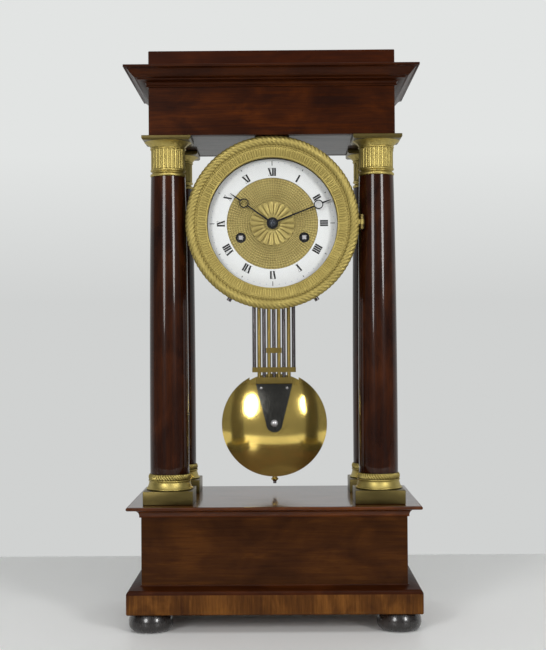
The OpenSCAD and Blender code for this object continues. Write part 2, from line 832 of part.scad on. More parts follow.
// Fixed half of the bezel's hinge, over or under the bezel's own knuckle
module hinge_knuckle(side) {
    z = dial_z + side * (knuckle_h + knuckle_gap) - knuckle_h / 2;
    strap_x = flange_d / 2 - 4;
    translate([hinge_x, hinge_y, z]) cylinder(h = knuckle_h, r = knuckle_r);
    translate([hinge_web_x, hinge_y, z])
        cube([hinge_web_t, seat_y + flange_t - hinge_y, knuckle_h]);
    translate([strap_x, seat_y + knuckle_gap, z])
        cube([hinge_web_x + hinge_web_t - strap_x, flange_t - knuckle_gap, knuckle_h]);
}

// Line of a radial dial clamp screw, from the drum's axis outwards
module clamp_at(a) {
    translate([0, clamp_y, dial_z]) rotate([0, 180 + a, 0]) children();
}

module case_screws() {
    color(STEEL) {
        for (a = [-clamp_angle, clamp_angle]) clamp_at(a) {
            tip = drum_in_r - rim_clear + 0.1;
            translate([0, 0, tip]) cylinder(h = clamp_l - tip, r = clamp_r);
            translate([0, 0, clamp_l - clamp_head_l]) cylinder(h = clamp_head_l, r = clamp_head_r);
        }
        for (y = lug_screw_y) soffit_screw([0, y], screw_bite);
        for (x = cock_screw_x) soffit_screw([x, pendulum_y], cock_base[2]);
    }
}

module soffit_screw(p, bite) {
    top = soffit_z + soffit_t;
    translate([p[0], p[1], soffit_z - bite]) cylinder(h = soffit_t + bite, r = screw_r);
    translate([p[0], p[1], top]) cylinder(h = screw_head_h, r = screw_head_r);
}

module bezel() {
    rebate_r = glass_r + glass_clear;
    back_in = 1.6;
    bead_r = 0.8;
    tab_x = bezel_r - 3;
    color(GILT) difference() {
        union() {
            at_dial([0, 0], seat_y) rotate_extrude($fn = 128) {
                polygon([
                    [rebate_r, 0], [bezel_r - back_in, 0], [bezel_r, rope_h],
                    [bezel_r - bezel_rope_w, rope_h], [band_out_r, band_h],
                    [band_in_r, glass_seat_h + lip_h + 0.2],
                    [bezel_in_r, glass_seat_h + lip_h], [bezel_in_r, glass_seat_h],
                    [rebate_r, glass_seat_h]
                ]);
                intersection() {
                    translate([rope_at, rope_h + bezel_rope_rise - rope_arc_r]) circle(rope_arc_r);
                    translate([0, rope_h]) square(bezel_r);
                }
                translate([band_out_r + bead_r, band_h - bead_r / 2]) circle(bead_r);
            }
            translate([hinge_x, hinge_y, dial_z - knuckle_h / 2])
                cylinder(h = knuckle_h, r = knuckle_r);
            translate([tab_x, hinge_y - tab_t / 2, dial_z - knuckle_h / 2])
                cube([hinge_x - tab_x, tab_t, knuckle_h]);
        }
        translate([hinge_x, hinge_y, dial_z - hinge_h])
            cylinder(h = 2 * hinge_h, r = hinge_pin_d / 2 + run_clear);
    }
}

module bezel_glass() {
    ball_r = (bezel_in_r * bezel_in_r + glass_rise * glass_rise) / (2 * glass_rise);
    ball_at = glass_seat_h - fit + glass_rise - ball_r;
    color(GLASS) at_dial([0, 0], seat_y) rotate_extrude($fn = 128) intersection() {
        difference() {
            translate([0, ball_at]) circle(ball_r, $fn = 360);
            translate([0, ball_at - glass_t]) circle(ball_r, $fn = 360);
        }
        square([glass_r, glass_seat_h + glass_rise]);
    }
}

module bezel_hinge_pin() {
    color(STEEL) translate([hinge_x, hinge_y, dial_z - hinge_h / 2])
        cylinder(h = hinge_h, d = hinge_pin_d);
}

module winding_holes(y0, y1) {
    for (p = [going_p, strike_p]) rod_y(p, y0 - 1, y1 + 1, winding_hole_d / 2);
}

module dial_plate() {
    color(BRASS) {
        difference() {
            rod_y([0, 0], dial_plate_y, dial_back_y, drum_in_r - rim_clear);
            rod_y([0, 0], dial_plate_y - 1, dial_back_y + 1, pipe_r + 0.7);
            winding_holes(dial_plate_y, dial_back_y);
        }
        for (a = [30, 150, 270])
            rod_y(dial_foot_r * ray(a), dial_back_y - 0.5, train_y, dial_foot_d / 2);
    }
}

module dial_centre() {
    color(GILT) difference() {
        rod_y([0, 0], dial_y + 0.4, dial_plate_y, dial_centre_d / 2 - 0.1);
        rod_y([0, 0], dial_y - 1, dial_plate_y + 1, pipe_r + 0.7);
        winding_holes(dial_y, dial_plate_y);
    }
}

module dial_ring() {
    color(ENAMEL) difference() {
        rod_y([0, 0], dial_y, dial_plate_y, dial_ring_r);
        rod_y([0, 0], dial_y - 1, dial_plate_y + 1, dial_centre_d / 2);
    }
}

// Tapered blade of a hand, with its width at the foot and at the tip
module hand_blade_2d(foot, tip, length) {
    polygon([[-foot / 2, 0], [foot / 2, 0], [tip / 2, length], [-tip / 2, length]]);
}

// Hand with a pierced round eye, drawn pointing up
module eye_hand_2d(length, eye_at, bore) {
    tip_z = eye_at + eye_r - eye_wall / 2;
    difference() {
        union() {
            circle(boss_r);
            hand_blade_2d(hand_w, 0.75 * hand_w, eye_at - eye_r + eye_wall / 2);
            translate([0, eye_at]) circle(eye_r);
            translate([0, tip_z]) hand_blade_2d(hand_w, hand_tip_w, length - tip_z);
        }
        circle(bore);
        translate([0, eye_at]) circle(eye_r - eye_wall);
    }
}

module hour_hand() {
    color(BLUED) at_dial([0, 0], hour_hand_y) rotate([0, 0, -hour_angle])
        linear_extrude(height = hand_t) eye_hand_2d(hour_hand_l, hour_eye_at, pipe_r + fit);
}

module minute_hand() {
    color(BLUED) at_dial([0, 0], minute_hand_y) rotate([0, 0, -minute_angle])
        linear_extrude(height = hand_t) eye_hand_2d(minute_hand_l, minute_eye_at, cannon_r + fit);
}

module hand_nut() {
    nut_r = boss_r - 1;
    rise = 2.6;
    color(BLUED) at_dial([0, 0], minute_hand_y - hand_t) difference() {
        rotate_extrude() intersection() {
            translate([0, rise - nut_r]) circle(nut_r);
            square([nut_r, rise]);
        }
        translate([0, 0, -1]) cylinder(h = 1.8, r = cannon_r + fit);
    }
}

// Movement

module plate_pivots() {
    for (p = [going_second_p, third_p, escape_p, strike_second_p, pin_wheel_p, fly_p])
        rod_y(p, front_plate_y - 1, rear_y + 1, pivot_r + run_clear);
}

module front_plate() {
    color(BRASS) {
        difference() {
            rod_y([0, 0], front_plate_y, train_y, plate_r);
            plate_pivots();
            for (p = [anchor_p, hammer_p])
                rod_y(p, front_plate_y - 1, train_y + 1, pivot_r + run_clear);
            rod_y(centre_p, front_plate_y - 1, train_y + 1, centre_r + run_clear);
            for (p = [going_p, strike_p])
                rod_y(p, front_plate_y - 1, train_y + 1, winding_r + run_clear);
            for (p = pillars) rod_y(p, front_plate_y - 1, train_y + 1, pillar_pin_r + fit);
            for (a = [30, 150, 270])
                rod_y(dial_foot_r * ray(a), front_plate_y - 1, train_y + 1, dial_foot_d / 2 + fit);
        }
        rod_y(minute_p, dial_back_y + 0.4, front_plate_y + 0.5, pivot_r + 0.2);
    }
}

module back_plate() {
    color(BRASS) {
        difference() {
            rod_y([0, 0], back_plate_y, rear_y, plate_r);
            plate_pivots();
            for (p = [anchor_p, hammer_p])
                rod_y(p, back_plate_y - 1, rear_y + 1, arbor_r + run_clear);
            for (p = [centre_p, going_p, strike_p])
                rod_y(p, back_plate_y - 1, rear_y + 1, strong_pivot_r + run_clear);
        }
        for (p = pillars) {
            rod_y(p, train_y, back_plate_y + 0.5, pillar_r);
            rod_y(p, front_plate_y, train_y + 0.5, pillar_pin_r);
        }
        rod_y(bell_p, rear_y - 0.5, bell_y + bell_h - bell_wall - bell_seat, stud_r + 2);
        rod_y(bell_p, rear_y - 0.5, bell_y + bell_h + 3, stud_r);
    }
}

// Spring barrel with its toothed great wheel
module barrel(p, next) {
    color(BRASS) difference() {
        union() {
            in_train(p, great_at) cylinder(h = barrel_h, r = barrel_r);
            in_train(p, great_at + great_t)
                toothed(great_teeth, great_module, tooth_share, angle_to(p, next), great_t);
        }
        in_train(p, great_at)
            cylinder(h = barrel_h - barrel_wall, r = barrel_r - barrel_wall);
        in_train(p, plate_gap) cylinder(h = plate_gap, r = winding_r + run_clear);
    }
}

module going_barrel() { barrel(going_p, going_second_p); }
module strike_barrel() { barrel(strike_p, strike_second_p); }

// Winding arbor with its ratchet wheel in front of the plate and its key square
module winding_arbor(p) {
    ratchet_r = 6;
    ratchet_teeth = 24;
    ratchet = [for (i = [0:ratchet_teeth - 1]) each [
        (ratchet_r - 0.9) * ray(360 * i / ratchet_teeth),
        ratchet_r * ray(360 * (i + 0.9) / ratchet_teeth)
    ]];
    color(STEEL) {
        rod_y(p, front_plate_y - motion_t - 0.4, back_plate_y - shoulder, winding_r);
        rod_y(p, back_plate_y - 1, rear_y, strong_pivot_r);
        at_dial(p, front_plate_y - 0.3) linear_extrude(height = motion_t) polygon(ratchet);
        at_dial(p, front_plate_y - motion_t)
            linear_extrude(height = front_plate_y - motion_t - dial_y + 0.6)
                square(winding_square, center = true);
    }
}

module going_winding_arbor() { winding_arbor(going_p); }
module strike_winding_arbor() { winding_arbor(strike_p); }

// Spiral ribbon between the arbor and the barrel's wall
module mainsprings() {
    in_r = winding_r + 0.4;
    out_r = barrel_r - barrel_wall - 0.4 - spring_t;
    steps = 20 * spring_turns;
    path = [for (i = [0:steps]) [360 * spring_turns * i / steps, in_r + (out_r - in_r) * i / steps]];
    ribbon = concat(
        [for (p = path) p[1] * ray(p[0])],
        [for (i = [steps:-1:0]) (path[i][1] + spring_t) * ray(path[i][0])]
    );
    color(STEEL) for (p = [going_p, strike_p])
        in_train(p, great_at - 0.5)
            linear_extrude(height = barrel_h - barrel_wall - 1) polygon(ribbon);
}

module going_second_arbor() {
    color(BRASS) {
        arbor(going_second_p);
        train_pinion(going_second_p, going_p, great_pinion, great_module, great_at, great_t);
        train_wheel(going_second_p, centre_p, second_teeth, second_module, second_at);
    }
}

module centre_arbor() {
    color(BRASS) {
        rod_y(centre_p, hour_hand_y, train_y + second_at - pinion_over, centre_r);
        rod_y(centre_p, train_y, back_plate_y - shoulder, pinion_core(second_module));
        rod_y(centre_p, back_plate_y - 1, rear_y, strong_pivot_r);
        train_pinion(centre_p, going_second_p, small_pinion, second_module, second_at, wheel_t);
        train_wheel(centre_p, third_p, centre_teeth, centre_module, centre_at);
    }
}

module third_arbor() {
    color(BRASS) {
        arbor(third_p, pinion_core(centre_module));
        train_pinion(third_p, centre_p, small_pinion, centre_module, centre_at, wheel_t);
        train_wheel(third_p, escape_p, third_teeth, third_module, rear_wheel_at);
    }
}

module escape_arbor() {
    step = 360 / escape_teeth;
    wheel = [for (i = [0:escape_teeth - 1]) each [
        (escape_r - 2) * ray(step * i), (escape_r - 2) * ray(step * (i + 0.55)),
        escape_r * ray(step * (i + 0.92)), escape_r * ray(step * (i + 0.97))
    ]];
    color(BRASS) {
        arbor(escape_p, pinion_core(third_module));
        train_pinion(escape_p, third_p, small_pinion, third_module, rear_wheel_at, wheel_t);
        in_train(escape_p, escape_at + wheel_t) linear_extrude(height = wheel_t) polygon(wheel);
    }
}

// Anchor over the escape wheel, its long arbor and the crutch that meets the pendulum
module anchor() {
    in_r = escape_r + pallet_gap;
    out_r = in_r + 5.4;
    fork_x = (rod_pitch - tine_t) / 2;
    color(STEEL) {
        in_train(escape_p, escape_at + wheel_t + 0.3) linear_extrude(height = wheel_t + 0.6)
            difference() {
                intersection() {
                    circle(out_r);
                    polygon([[0, 0], 2 * out_r * ray(136), 2 * out_r * ray(90), 2 * out_r * ray(44)]);
                }
                circle(in_r);
            }
        rod_y(anchor_p, train_y + shoulder, crutch_y + crutch_t, arbor_r);
        rod_y(anchor_p, front_plate_y, train_y + 1, pivot_r);
        at_dial(anchor_p, crutch_y + crutch_t) linear_extrude(height = crutch_t) {
            circle(crutch_w);
            translate([-crutch_w, -crutch_l]) square([2 * crutch_w, crutch_l]);
        }
        for (s = [-1, 1])
            translate([s * (fork_x + tine_t / 2) - tine_t / 2, crutch_y, pivot_z - crutch_l])
                cube([tine_t, pendulum_y + rod_r - crutch_y, 4]);
    }
}

module cannon_pinion() {
    color(STEEL) difference() {
        union() {
            rod_y(centre_p, minute_hand_y - hand_t - 0.6, front_plate_y - 0.4, cannon_r);
            at_dial(centre_p, front_plate_y - cannon_at + 0.4)
                toothed(cannon_leaves, motion_module, leaf_share,
                    angle_to(centre_p, minute_p) + 180 / cannon_leaves, motion_t + 0.8);
        }
        rod_y(centre_p, minute_hand_y - 4, front_plate_y + 1, centre_r + run_clear);
    }
}

module minute_wheel() {
    color(BRASS) difference() {
        union() {
            at_dial(minute_p, front_plate_y - cannon_at)
                toothed(minute_teeth, motion_module, tooth_share, angle_to(minute_p, centre_p), motion_t);
            at_dial(minute_p, front_plate_y - cannon_at - motion_t + 0.2)
                toothed(minute_leaves, hour_module, leaf_share,
                    angle_to(minute_p, centre_p) + 180 / minute_leaves, hour_at - cannon_at + 0.3);
        }
        rod_y(minute_p, dial_back_y - 1, front_plate_y + 1, pivot_r + 0.2 + run_clear);
    }
}

module hour_wheel() {
    color(BRASS) difference() {
        union() {
            at_dial(centre_p, front_plate_y - hour_at)
                toothed(hour_teeth, hour_module, tooth_share, angle_to(centre_p, minute_p), motion_t);
            rod_y(centre_p, hour_hand_y - hand_t, front_plate_y - hour_at, pipe_r);
        }
        rod_y(centre_p, hour_hand_y - 4, front_plate_y + 1, pipe_in_r);
    }
}

module strike_second_arbor() {
    color(BRASS) {
        arbor(strike_second_p);
        train_pinion(strike_second_p, strike_p, great_pinion, great_module, great_at, great_t);
        train_wheel(strike_second_p, pin_wheel_p, second_teeth, second_module, second_at);
    }
}

module pin_wheel_arbor() {
    pin_end_at = rear_wheel_at + wheel_t + pin_l;
    color(BRASS) {
        arbor(pin_wheel_p);
        train_pinion(pin_wheel_p, strike_second_p, small_pinion, second_module, second_at, wheel_t);
        train_wheel(pin_wheel_p, fly_p, pin_wheel_teeth, pin_module, rear_wheel_at);
        for (i = [0:pin_count - 1])
            in_train(pin_wheel_p + pin_circle_r * ray(360 * i / pin_count), pin_end_at)
                cylinder(h = pin_l + 0.5, r = pin_r, $fn = 24);
    }
}

module fly_arbor() {
    vane_w = 13;
    vane_l = 13;
    color(BRASS) {
        arbor(fly_p, 0.9 * arbor_r);
        train_pinion(fly_p, pin_wheel_p, small_pinion, pin_module, rear_wheel_at, wheel_t);
        in_train(fly_p, escape_at + vane_l / 2) linear_extrude(height = vane_l)
            square([vane_w, 0.7], center = true);
    }
}

// Hammer: a tail by the wheel's pins and an arm behind the back plate
module hammer() {
    tail_l = norm(pin_wheel_p - hammer_p) - pin_circle_r - pin_r - 0.8;
    tail_at = rear_wheel_at + wheel_t + 0.4;
    arm = hammer_head_p - hammer_p;
    color(STEEL) {
        rod_y(hammer_p, train_y + shoulder, hammer_y + 2, arbor_r);
        rod_y(hammer_p, front_plate_y, train_y + 1, pivot_r);
        in_train(hammer_p, tail_at + 1.4) rotate([0, 0, angle_to(hammer_p, pin_wheel_p)])
            translate([0, -0.8, 0]) cube([tail_l, 1.6, 1.4]);
        at_dial(hammer_p, hammer_y + 2) rotate([0, 0, atan2(arm[1], arm[0])]) {
            cylinder(h = 2, r = 2.6);
            translate([0, -0.9, 0]) cube([norm(arm), 1.8, 2]);
        }
        translate([hammer_head_p[0] - hammer_head_l / 2, hammer_y + 1, dial_z + hammer_head_p[1]])
            rotate([0, 90, 0]) cylinder(h = hammer_head_l, r = hammer_head_r);
    }
}

module bell() {
    r = bell_d / 2;
    ball_r = (r * r + bell_h * bell_h) / (2 * bell_h);
    color(GILT) {
        translate([0, bell_y, dial_z - bell_drop]) rotate([-90, 0, 0]) rotate_extrude() difference() {
            intersection() {
                translate([0, bell_h - ball_r]) circle(ball_r, $fn = 180);
                square([r, bell_h]);
            }
            translate([0, bell_h - ball_r]) circle(ball_r - bell_wall, $fn = 180);
            square([stud_r + run_clear, 2 * bell_h]);
        }
        difference() {
            rod_y(bell_p, bell_y + bell_h + 0.2, bell_y + bell_h + 2.6, 2 * stud_r);
            rod_y(bell_p, bell_y, bell_y + bell_h + 4, stud_r + run_clear);
        }
    }
}

// Pendulum

module suspension_cock() {
    arm_x = cheek[0] / 2 + cheek_gap;
    base_low = soffit_z - cock_base[2];
    pin_z = cheek_z + cheek[2] / 2;
    color(BRASS) difference() {
        union() {
            translate([-cock_base[0] / 2, pendulum_y - cock_base[1] / 2, base_low]) cube(cock_base);
            for (s = [-1, 1])
                translate([s * (arm_x + cock_arm[0] / 2), pendulum_y, 0])
                    block(cock_arm[0], cock_arm[1], cheek_z, base_low - cheek_z + 0.5);
        }
        translate([-cock_base[0] / 2, pendulum_y, pin_z]) rotate([0, 90, 0])
            cylinder(h = cock_base[0], r = cheek_pin_r + cheek_gap);
        for (x = cock_screw_x) translate([x, pendulum_y, base_low - 1])
            cylinder(h = cock_base[2] + 2, r = screw_r + fit);
    }
}

// Steel blade with a brass cheek and cross pin at its top and a clip at its foot
module suspension_spring() {
    foot_z = top_bar_z + top_bar_h / 2;
    pin_l = cheek[0] + 2 * cheek_gap + 2 * cock_arm[0] - 1;
    color(STEEL) {
        translate([-cheek[0] / 2, pendulum_y - cheek[1] / 2, cheek_z]) cube(cheek);
        translate([-blade_t / 2, pendulum_y - cheek[1] / 2 + 0.5, foot_z])
            cube([blade_t, cheek[1] - 1, cheek_z - foot_z + 1]);
        translate([-cheek[0] / 2, pendulum_y - bar_t / 2, foot_z]) cube([cheek[0], bar_t, 2.5]);
        translate([-pin_l / 2, pendulum_y, cheek_z + cheek[2] / 2]) rotate([0, 90, 0])
            cylinder(h = pin_l, r = cheek_pin_r);
    }
}

function rod_x(i) = (i - (rods - 1) / 2) * rod_pitch;

// Lower end of rod i: the outer ones stop at the full bar, the others at the bottom bar
function rod_foot(i) =
    i == 0 || i == rods - 1 ? full_bar_z - full_bar_h / 2 : bottom_bar_z - bottom_bar_h / 2;

module grid_rod(i, r) {
    low = rod_foot(i);
    translate([rod_x(i), pendulum_y, low])
        cylinder(h = top_bar_z + top_bar_h / 2 - low, r = r, $fn = 32);
}

module steel_rods() {
    thread_z = nut_z - thread_tail;
    color(STEEL) {
        for (i = [0:2:rods - 1]) grid_rod(i, rod_r);
        translate([0, pendulum_y, thread_z])
            cylinder(h = bottom_bar_z - thread_z, d = thread_d, $fn = 32);
    }
}

// Bar over the rods up to a count from the middle one, with an overhang at each end
module cross_bar(reach, z, h, over) {
    w = 2 * (reach * rod_pitch + rod_r + over);
    translate([-w / 2, pendulum_y - bar_t / 2, z - h / 2]) cube([w, bar_t, h]);
}

module brass_rods() {
    color(BRASS) difference() {
        union() {
            for (i = [1:2:rods - 1]) grid_rod(i, rod_r);
            cross_bar(4, top_bar_z, top_bar_h, full_bar_over);
            cross_bar(1, small_bar_z, small_bar_h, small_bar_over);
            cross_bar(4, full_bar_z, full_bar_h, full_bar_over);
            cross_bar(3, bottom_bar_z, bottom_bar_h, bottom_bar_over);
        }
        for (i = [0:2:rods - 1]) grid_rod(i, rod_r + fit);
        translate([0, pendulum_y, bottom_bar_z - bottom_bar_h])
            cylinder(h = bottom_bar_h, d = thread_d + 2 * fit, $fn = 32);
    }
}

// Lens that the bob is turned to, grown by extra, with its axis along Y
module bob_lens(extra) {
    translate([0, pendulum_y, bob_z]) rotate([90, 0, 0]) rotate_extrude($fn = 128) intersection() {
        translate([0, -bob_ball_at]) circle(bob_ball_r + extra, $fn = 360);
        translate([0, bob_ball_at]) circle(bob_ball_r + extra, $fn = 360);
        translate([0, -bob_t]) square([bob_r, 2 * bob_t]);
    }
}

module bob() {
    color(BRASS) difference() {
        bob_lens(0);
        translate([-bob_slot_w / 2, pendulum_y - bob_t, slot_floor_z])
            cube([bob_slot_w, bob_t + bar_t / 2 + bob_slot_back, bob_d]);
        translate([0, pendulum_y, bob_z - bob_d])
            cylinder(h = 2 * bob_d, r = thread_d / 2 + run_clear);
        for (p = shield_screw_places()) shield_screw_hole(p);
    }
}

// Places of the shield's screws: [x, z, head radius]
function shield_screw_places() = [
    [0, bob_z + shield_end_rise + 1, 3.25],
    [-0.7 * shield_top_w / 2, slot_floor_z - 2.6, 1.3],
    [0.7 * shield_top_w / 2, slot_floor_z - 2.6, 1.3]
];

// Front of the shield at a place, on the bob's round face
function shield_y(p) =
    pendulum_y + bob_ball_at
    - sqrt(pow(bob_ball_r + shield_t + shield_gap, 2) - p[0] * p[0] - pow(p[1] - bob_z, 2));

function shield_shank_r(p) = 0.45 * p[2];

// Lift of a screw's flat head over the sloping face of the shield
function head_lift(p) = 0.1 + p[2] * norm([p[0], p[1] - bob_z]) / bob_ball_r;

module shield_screw_hole(p) {
    translate([p[0], pendulum_y - thread_d, p[1]]) rotate([90, 0, 0])
        cylinder(h = bob_t, r = shield_shank_r(p) + fit, $fn = 32);
}

module bob_shield() {
    end_z = bob_z + shield_end_rise;
    top_z = bottom_bar_z - bottom_bar_h / 2 - shield_top_gap;
    color(STEEL) difference() {
        intersection() {
            difference() {
                bob_lens(shield_gap + shield_t);
                bob_lens(shield_gap);
                translate([-bob_d, pendulum_y, bob_z - bob_d]) cube([2 * bob_d, bob_d, 2 * bob_d]);
            }
            translate([0, pendulum_y, 0]) rotate([90, 0, 0]) linear_extrude(height = 2 * bob_t) {
                translate([0, end_z]) circle(shield_end_r);
                polygon([
                    [-shield_end_r, end_z], [shield_end_r, end_z],
                    [shield_top_w / 2, top_z], [-shield_top_w / 2, top_z]
                ]);
            }
        }
        for (p = shield_screw_places()) shield_screw_hole(p);
    }
}

module shield_screws() {
    color(STEEL) for (p = shield_screw_places()) {
        head_y = shield_y(p) - head_lift(p);
        rise = 0.55 * p[2];
        dome_r = (p[2] * p[2] + rise * rise) / (2 * rise);
        translate([p[0], head_y, p[1]]) rotate([90, 0, 0]) rotate_extrude($fn = 48) intersection() {
            translate([0, rise - dome_r]) circle(dome_r, $fn = 90);
            square([p[2], rise]);
        }
        translate([p[0], head_y + 5, p[1]]) rotate([90, 0, 0])
            cylinder(h = 5.2, r = shield_shank_r(p), $fn = 32);
    }
}

module rating_nut() {
    color(BRASS) translate([0, pendulum_y, nut_z]) difference() {
        cylinder(h = nut_h, d = nut_d);
        translate([0, 0, -1]) cylinder(h = nut_h + 2, r = thread_d / 2 + run_clear);
    }
}

bun_feet();
plinth();
base_box();
base_top();
column_base_front_left();
column_base_front_right();
column_base_rear_left();
column_base_rear_right();
column_shaft_front_left();
column_shaft_front_right();
column_shaft_rear_left();
column_shaft_rear_right();
capital_front_left();
capital_front_right();
capital_rear_left();
capital_rear_right();
tie_rods();
soffit_board();
frieze_box();
cornice();
top_block();
drum_shell();
case_screws();
bezel();
bezel_glass();
bezel_hinge_pin();
dial_plate();
dial_centre();
dial_ring();
hour_hand();
minute_hand();
hand_nut();
front_plate();
back_plate();
going_barrel();
going_winding_arbor();
strike_barrel();
strike_winding_arbor();
mainsprings();
going_second_arbor();
centre_arbor();
third_arbor();
escape_arbor();
anchor();
cannon_pinion();
minute_wheel();
hour_wheel();
strike_second_arbor();
pin_wheel_arbor();
fly_arbor();
hammer();
bell();
suspension_cock();
suspension_spring();
steel_rods();
brass_rods();
bob();
bob_shield();
shield_screws();
rating_nut();
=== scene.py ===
import math

import bmesh
import bpy
from bpy.props import FloatProperty, FloatVectorProperty, IntProperty, PointerProperty
from mathutils import Matrix, Vector


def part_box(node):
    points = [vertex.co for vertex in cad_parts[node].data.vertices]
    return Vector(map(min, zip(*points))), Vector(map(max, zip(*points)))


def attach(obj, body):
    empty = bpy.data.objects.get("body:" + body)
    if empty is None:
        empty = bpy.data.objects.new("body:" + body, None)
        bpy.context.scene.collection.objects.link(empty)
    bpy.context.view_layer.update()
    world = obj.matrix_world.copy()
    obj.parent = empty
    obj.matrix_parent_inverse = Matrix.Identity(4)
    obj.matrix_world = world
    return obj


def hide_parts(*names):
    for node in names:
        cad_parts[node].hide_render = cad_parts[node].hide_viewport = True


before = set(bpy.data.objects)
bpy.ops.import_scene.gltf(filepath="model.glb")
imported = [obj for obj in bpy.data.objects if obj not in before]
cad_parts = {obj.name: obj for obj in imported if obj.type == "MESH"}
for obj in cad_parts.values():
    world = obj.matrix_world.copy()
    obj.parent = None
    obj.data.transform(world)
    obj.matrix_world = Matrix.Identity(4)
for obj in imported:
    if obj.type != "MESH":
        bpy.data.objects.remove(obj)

bl_info = {
    "name": "Portico Clock Dresser",
    "version": (1, 0, 0),
    "blender": (4, 5, 0),
    "location": "View3D > Sidebar > Clock",
    "description": "Dresses the packed portico clock with turned, chased and polished pieces",
    "category": "Object",
}

MM = 0.001
TURN = 2 * math.pi
CORNERS = ("front_left", "front_right", "rear_left", "rear_right")
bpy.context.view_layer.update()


def middle(node):
    """Middle of a node's box."""
    low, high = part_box(node)
    return (low + high) / 2


def extent(node):
    """Lengths of a node's box."""
    low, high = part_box(node)
    return high - low


# Places and sizes that the frame gives
DIAL_Z = middle("dial_ring").z
DIAL_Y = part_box("dial_ring")[0].y
DIAL_R = extent("dial_ring").z / 2
CENTRE_R = extent("dial_centre").z / 2
CENTRE_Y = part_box("dial_centre")[0].y
BEZEL_R = extent("bezel").z / 2
SEAT_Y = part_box("bezel")[1].y
GLASS_R = extent("bezel_glass").z / 2
KEY_AT = middle("going_winding_arbor")
SHAFT_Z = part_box("column_shaft_front_left")[0].z
SHAFT_H = extent("column_shaft_front_left").z
SHAFT_FOOT_R = extent("column_shaft_front_left").x / 2
CAPITAL_H = extent("capital_front_left").z
CAPITAL_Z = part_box("capital_front_left")[0].z
ABACUS_W = extent("capital_front_left").x
BASE_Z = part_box("column_base_front_left")[0].z
BASE_H = extent("column_base_front_left").z
COLUMN_FOOT_W = extent("column_base_front_left").x
BOB_AT = middle("bob")
NUT_AT = middle("rating_nut")
FRIEZE_W = extent("frieze_box").x
FRIEZE_D = extent("frieze_box").y


def linear(red, green, blue):
    """Linear colour of an sRGB colour written from 0 to 255."""
    def channel(value):
        value /= 255
        return value / 12.92 if value <= 0.04045 else ((value + 0.055) / 1.055) ** 2.4
    return channel(red), channel(green), channel(blue)


def shade(colour, share):
    """A colour at a share of its brightness."""
    return [share * channel for channel in colour]


def stretched(axis, share):
    """Scales that stretch a pattern along one axis."""
    return [share if letter == axis else 1.0 for letter in "XYZ"]


def tint(name, description, rgb):
    """Colour property with an sRGB default."""
    return FloatVectorProperty(
        name=name, description=description, default=linear(*rgb), subtype="COLOR", min=0, max=1)


def length(name, description, default):
    """Length property with a default in millimetres."""
    return FloatProperty(
        name=name, description=description, default=default * MM, subtype="DISTANCE", unit="LENGTH", min=0)


def count(name, description, default):
    """Whole number of repeats."""
    return IntProperty(name=name, description=description, default=default, min=3)


class ClockCase(bpy.types.PropertyGroup):
    """Sizes and colours of the wooden case"""
    wood_dark: tint("Dark figure", "Darkest bands of the mahogany", (40, 19, 8))
    wood_mid: tint("Wood", "Main colour of the mahogany", (62, 34, 14))
    wood_light: tint("Light figure", "Lightest bands of the mahogany", (88, 52, 23))
    ebony: tint("Ebonised wood", "Colour of the feet", (26, 21, 19))
    edge_soft: length("Soft edges", "Rounding of the case's edges", 0.7)


class ClockGilt(bpy.types.PropertyGroup):
    """Ornament and colours of the gilt bronze"""
    gilt: tint("Gilding", "Matt gilding", (190, 172, 102))
    gilt_deep: tint("Recesses", "Gilding in the recesses", (110, 88, 40))
    plain_brass: tint("Plain brass", "Toned brass of the column feet", (100, 88, 52))
    bezel_strands: count("Bezel strands", "Strands of the bezel's rope", 114)
    bezel_leaves: count("Bezel leaves", "Leaves in the bezel's band", 91)
    base_strands: count("Base strands", "Strands of the rope on a column base", 46)
    reeds: count("Reeds", "Reeds round a capital's neck", 24)


class ClockDial(bpy.types.PropertyGroup):
    """Marks and colours of the dial"""
    enamel: tint("Enamel", "White of the chapter ring", (232, 234, 233))
    ink: tint("Numerals", "Black of the numerals", (9, 9, 10))
    dot_ink: tint("Minute dots", "Grey blue of the minute dots", (176, 184, 196))
    numeral_in: length("Numerals start", "Radius at the foot of the numerals", 41.3)
    numeral_h: length("Numeral height", "Height of the numerals", 6.7)
    petals: count("Petals", "Petals of the centre rosette", 21)
    rosette: length("Rosette", "Radius of the centre rosette", 19)


class ClockMetal(bpy.types.PropertyGroup):
    """Colours of the movement and the pendulum"""
    brass: tint("Brass", "Brass of the movement", (196, 170, 96))
    bob: tint("Bob", "Polished brass of the bob", (240, 210, 116))
    steel: tint("Steel", "Polished steel", (98, 93, 94))
    shield: tint("Shield", "Dark steel of the bob's shield", (98, 97, 92))
    boss: tint("Boss", "Slate steel of the hands' boss", (66, 70, 78))
    key: tint("Key squares", "Bright steel of the winding squares", (206, 204, 204))
    blued: tint("Blued steel", "Dark steel of the hands", (14, 13, 14))


class ClockStage(bpy.types.PropertyGroup):
    """Camera, light and floor"""
    lens: FloatProperty(name="Lens", description="Focal length", default=69.13, subtype="DISTANCE_CAMERA")
    eye: FloatVectorProperty(
        name="Camera", description="Place of the camera", default=(0.0080, -1.1287, 0.2458),
        subtype="TRANSLATION", unit="LENGTH")
    turn: FloatVectorProperty(
        name="Camera turn", description="Pitch, roll and yaw of the camera",
        default=[math.radians(a) for a in (0.760, 0.384, 0.429)], subtype="EULER", unit="ROTATION")
    backdrop: tint("Backdrop", "Pale wall behind the clock", (226, 228, 227))
    floor: tint("Floor", "Pale floor", (250, 250, 248))


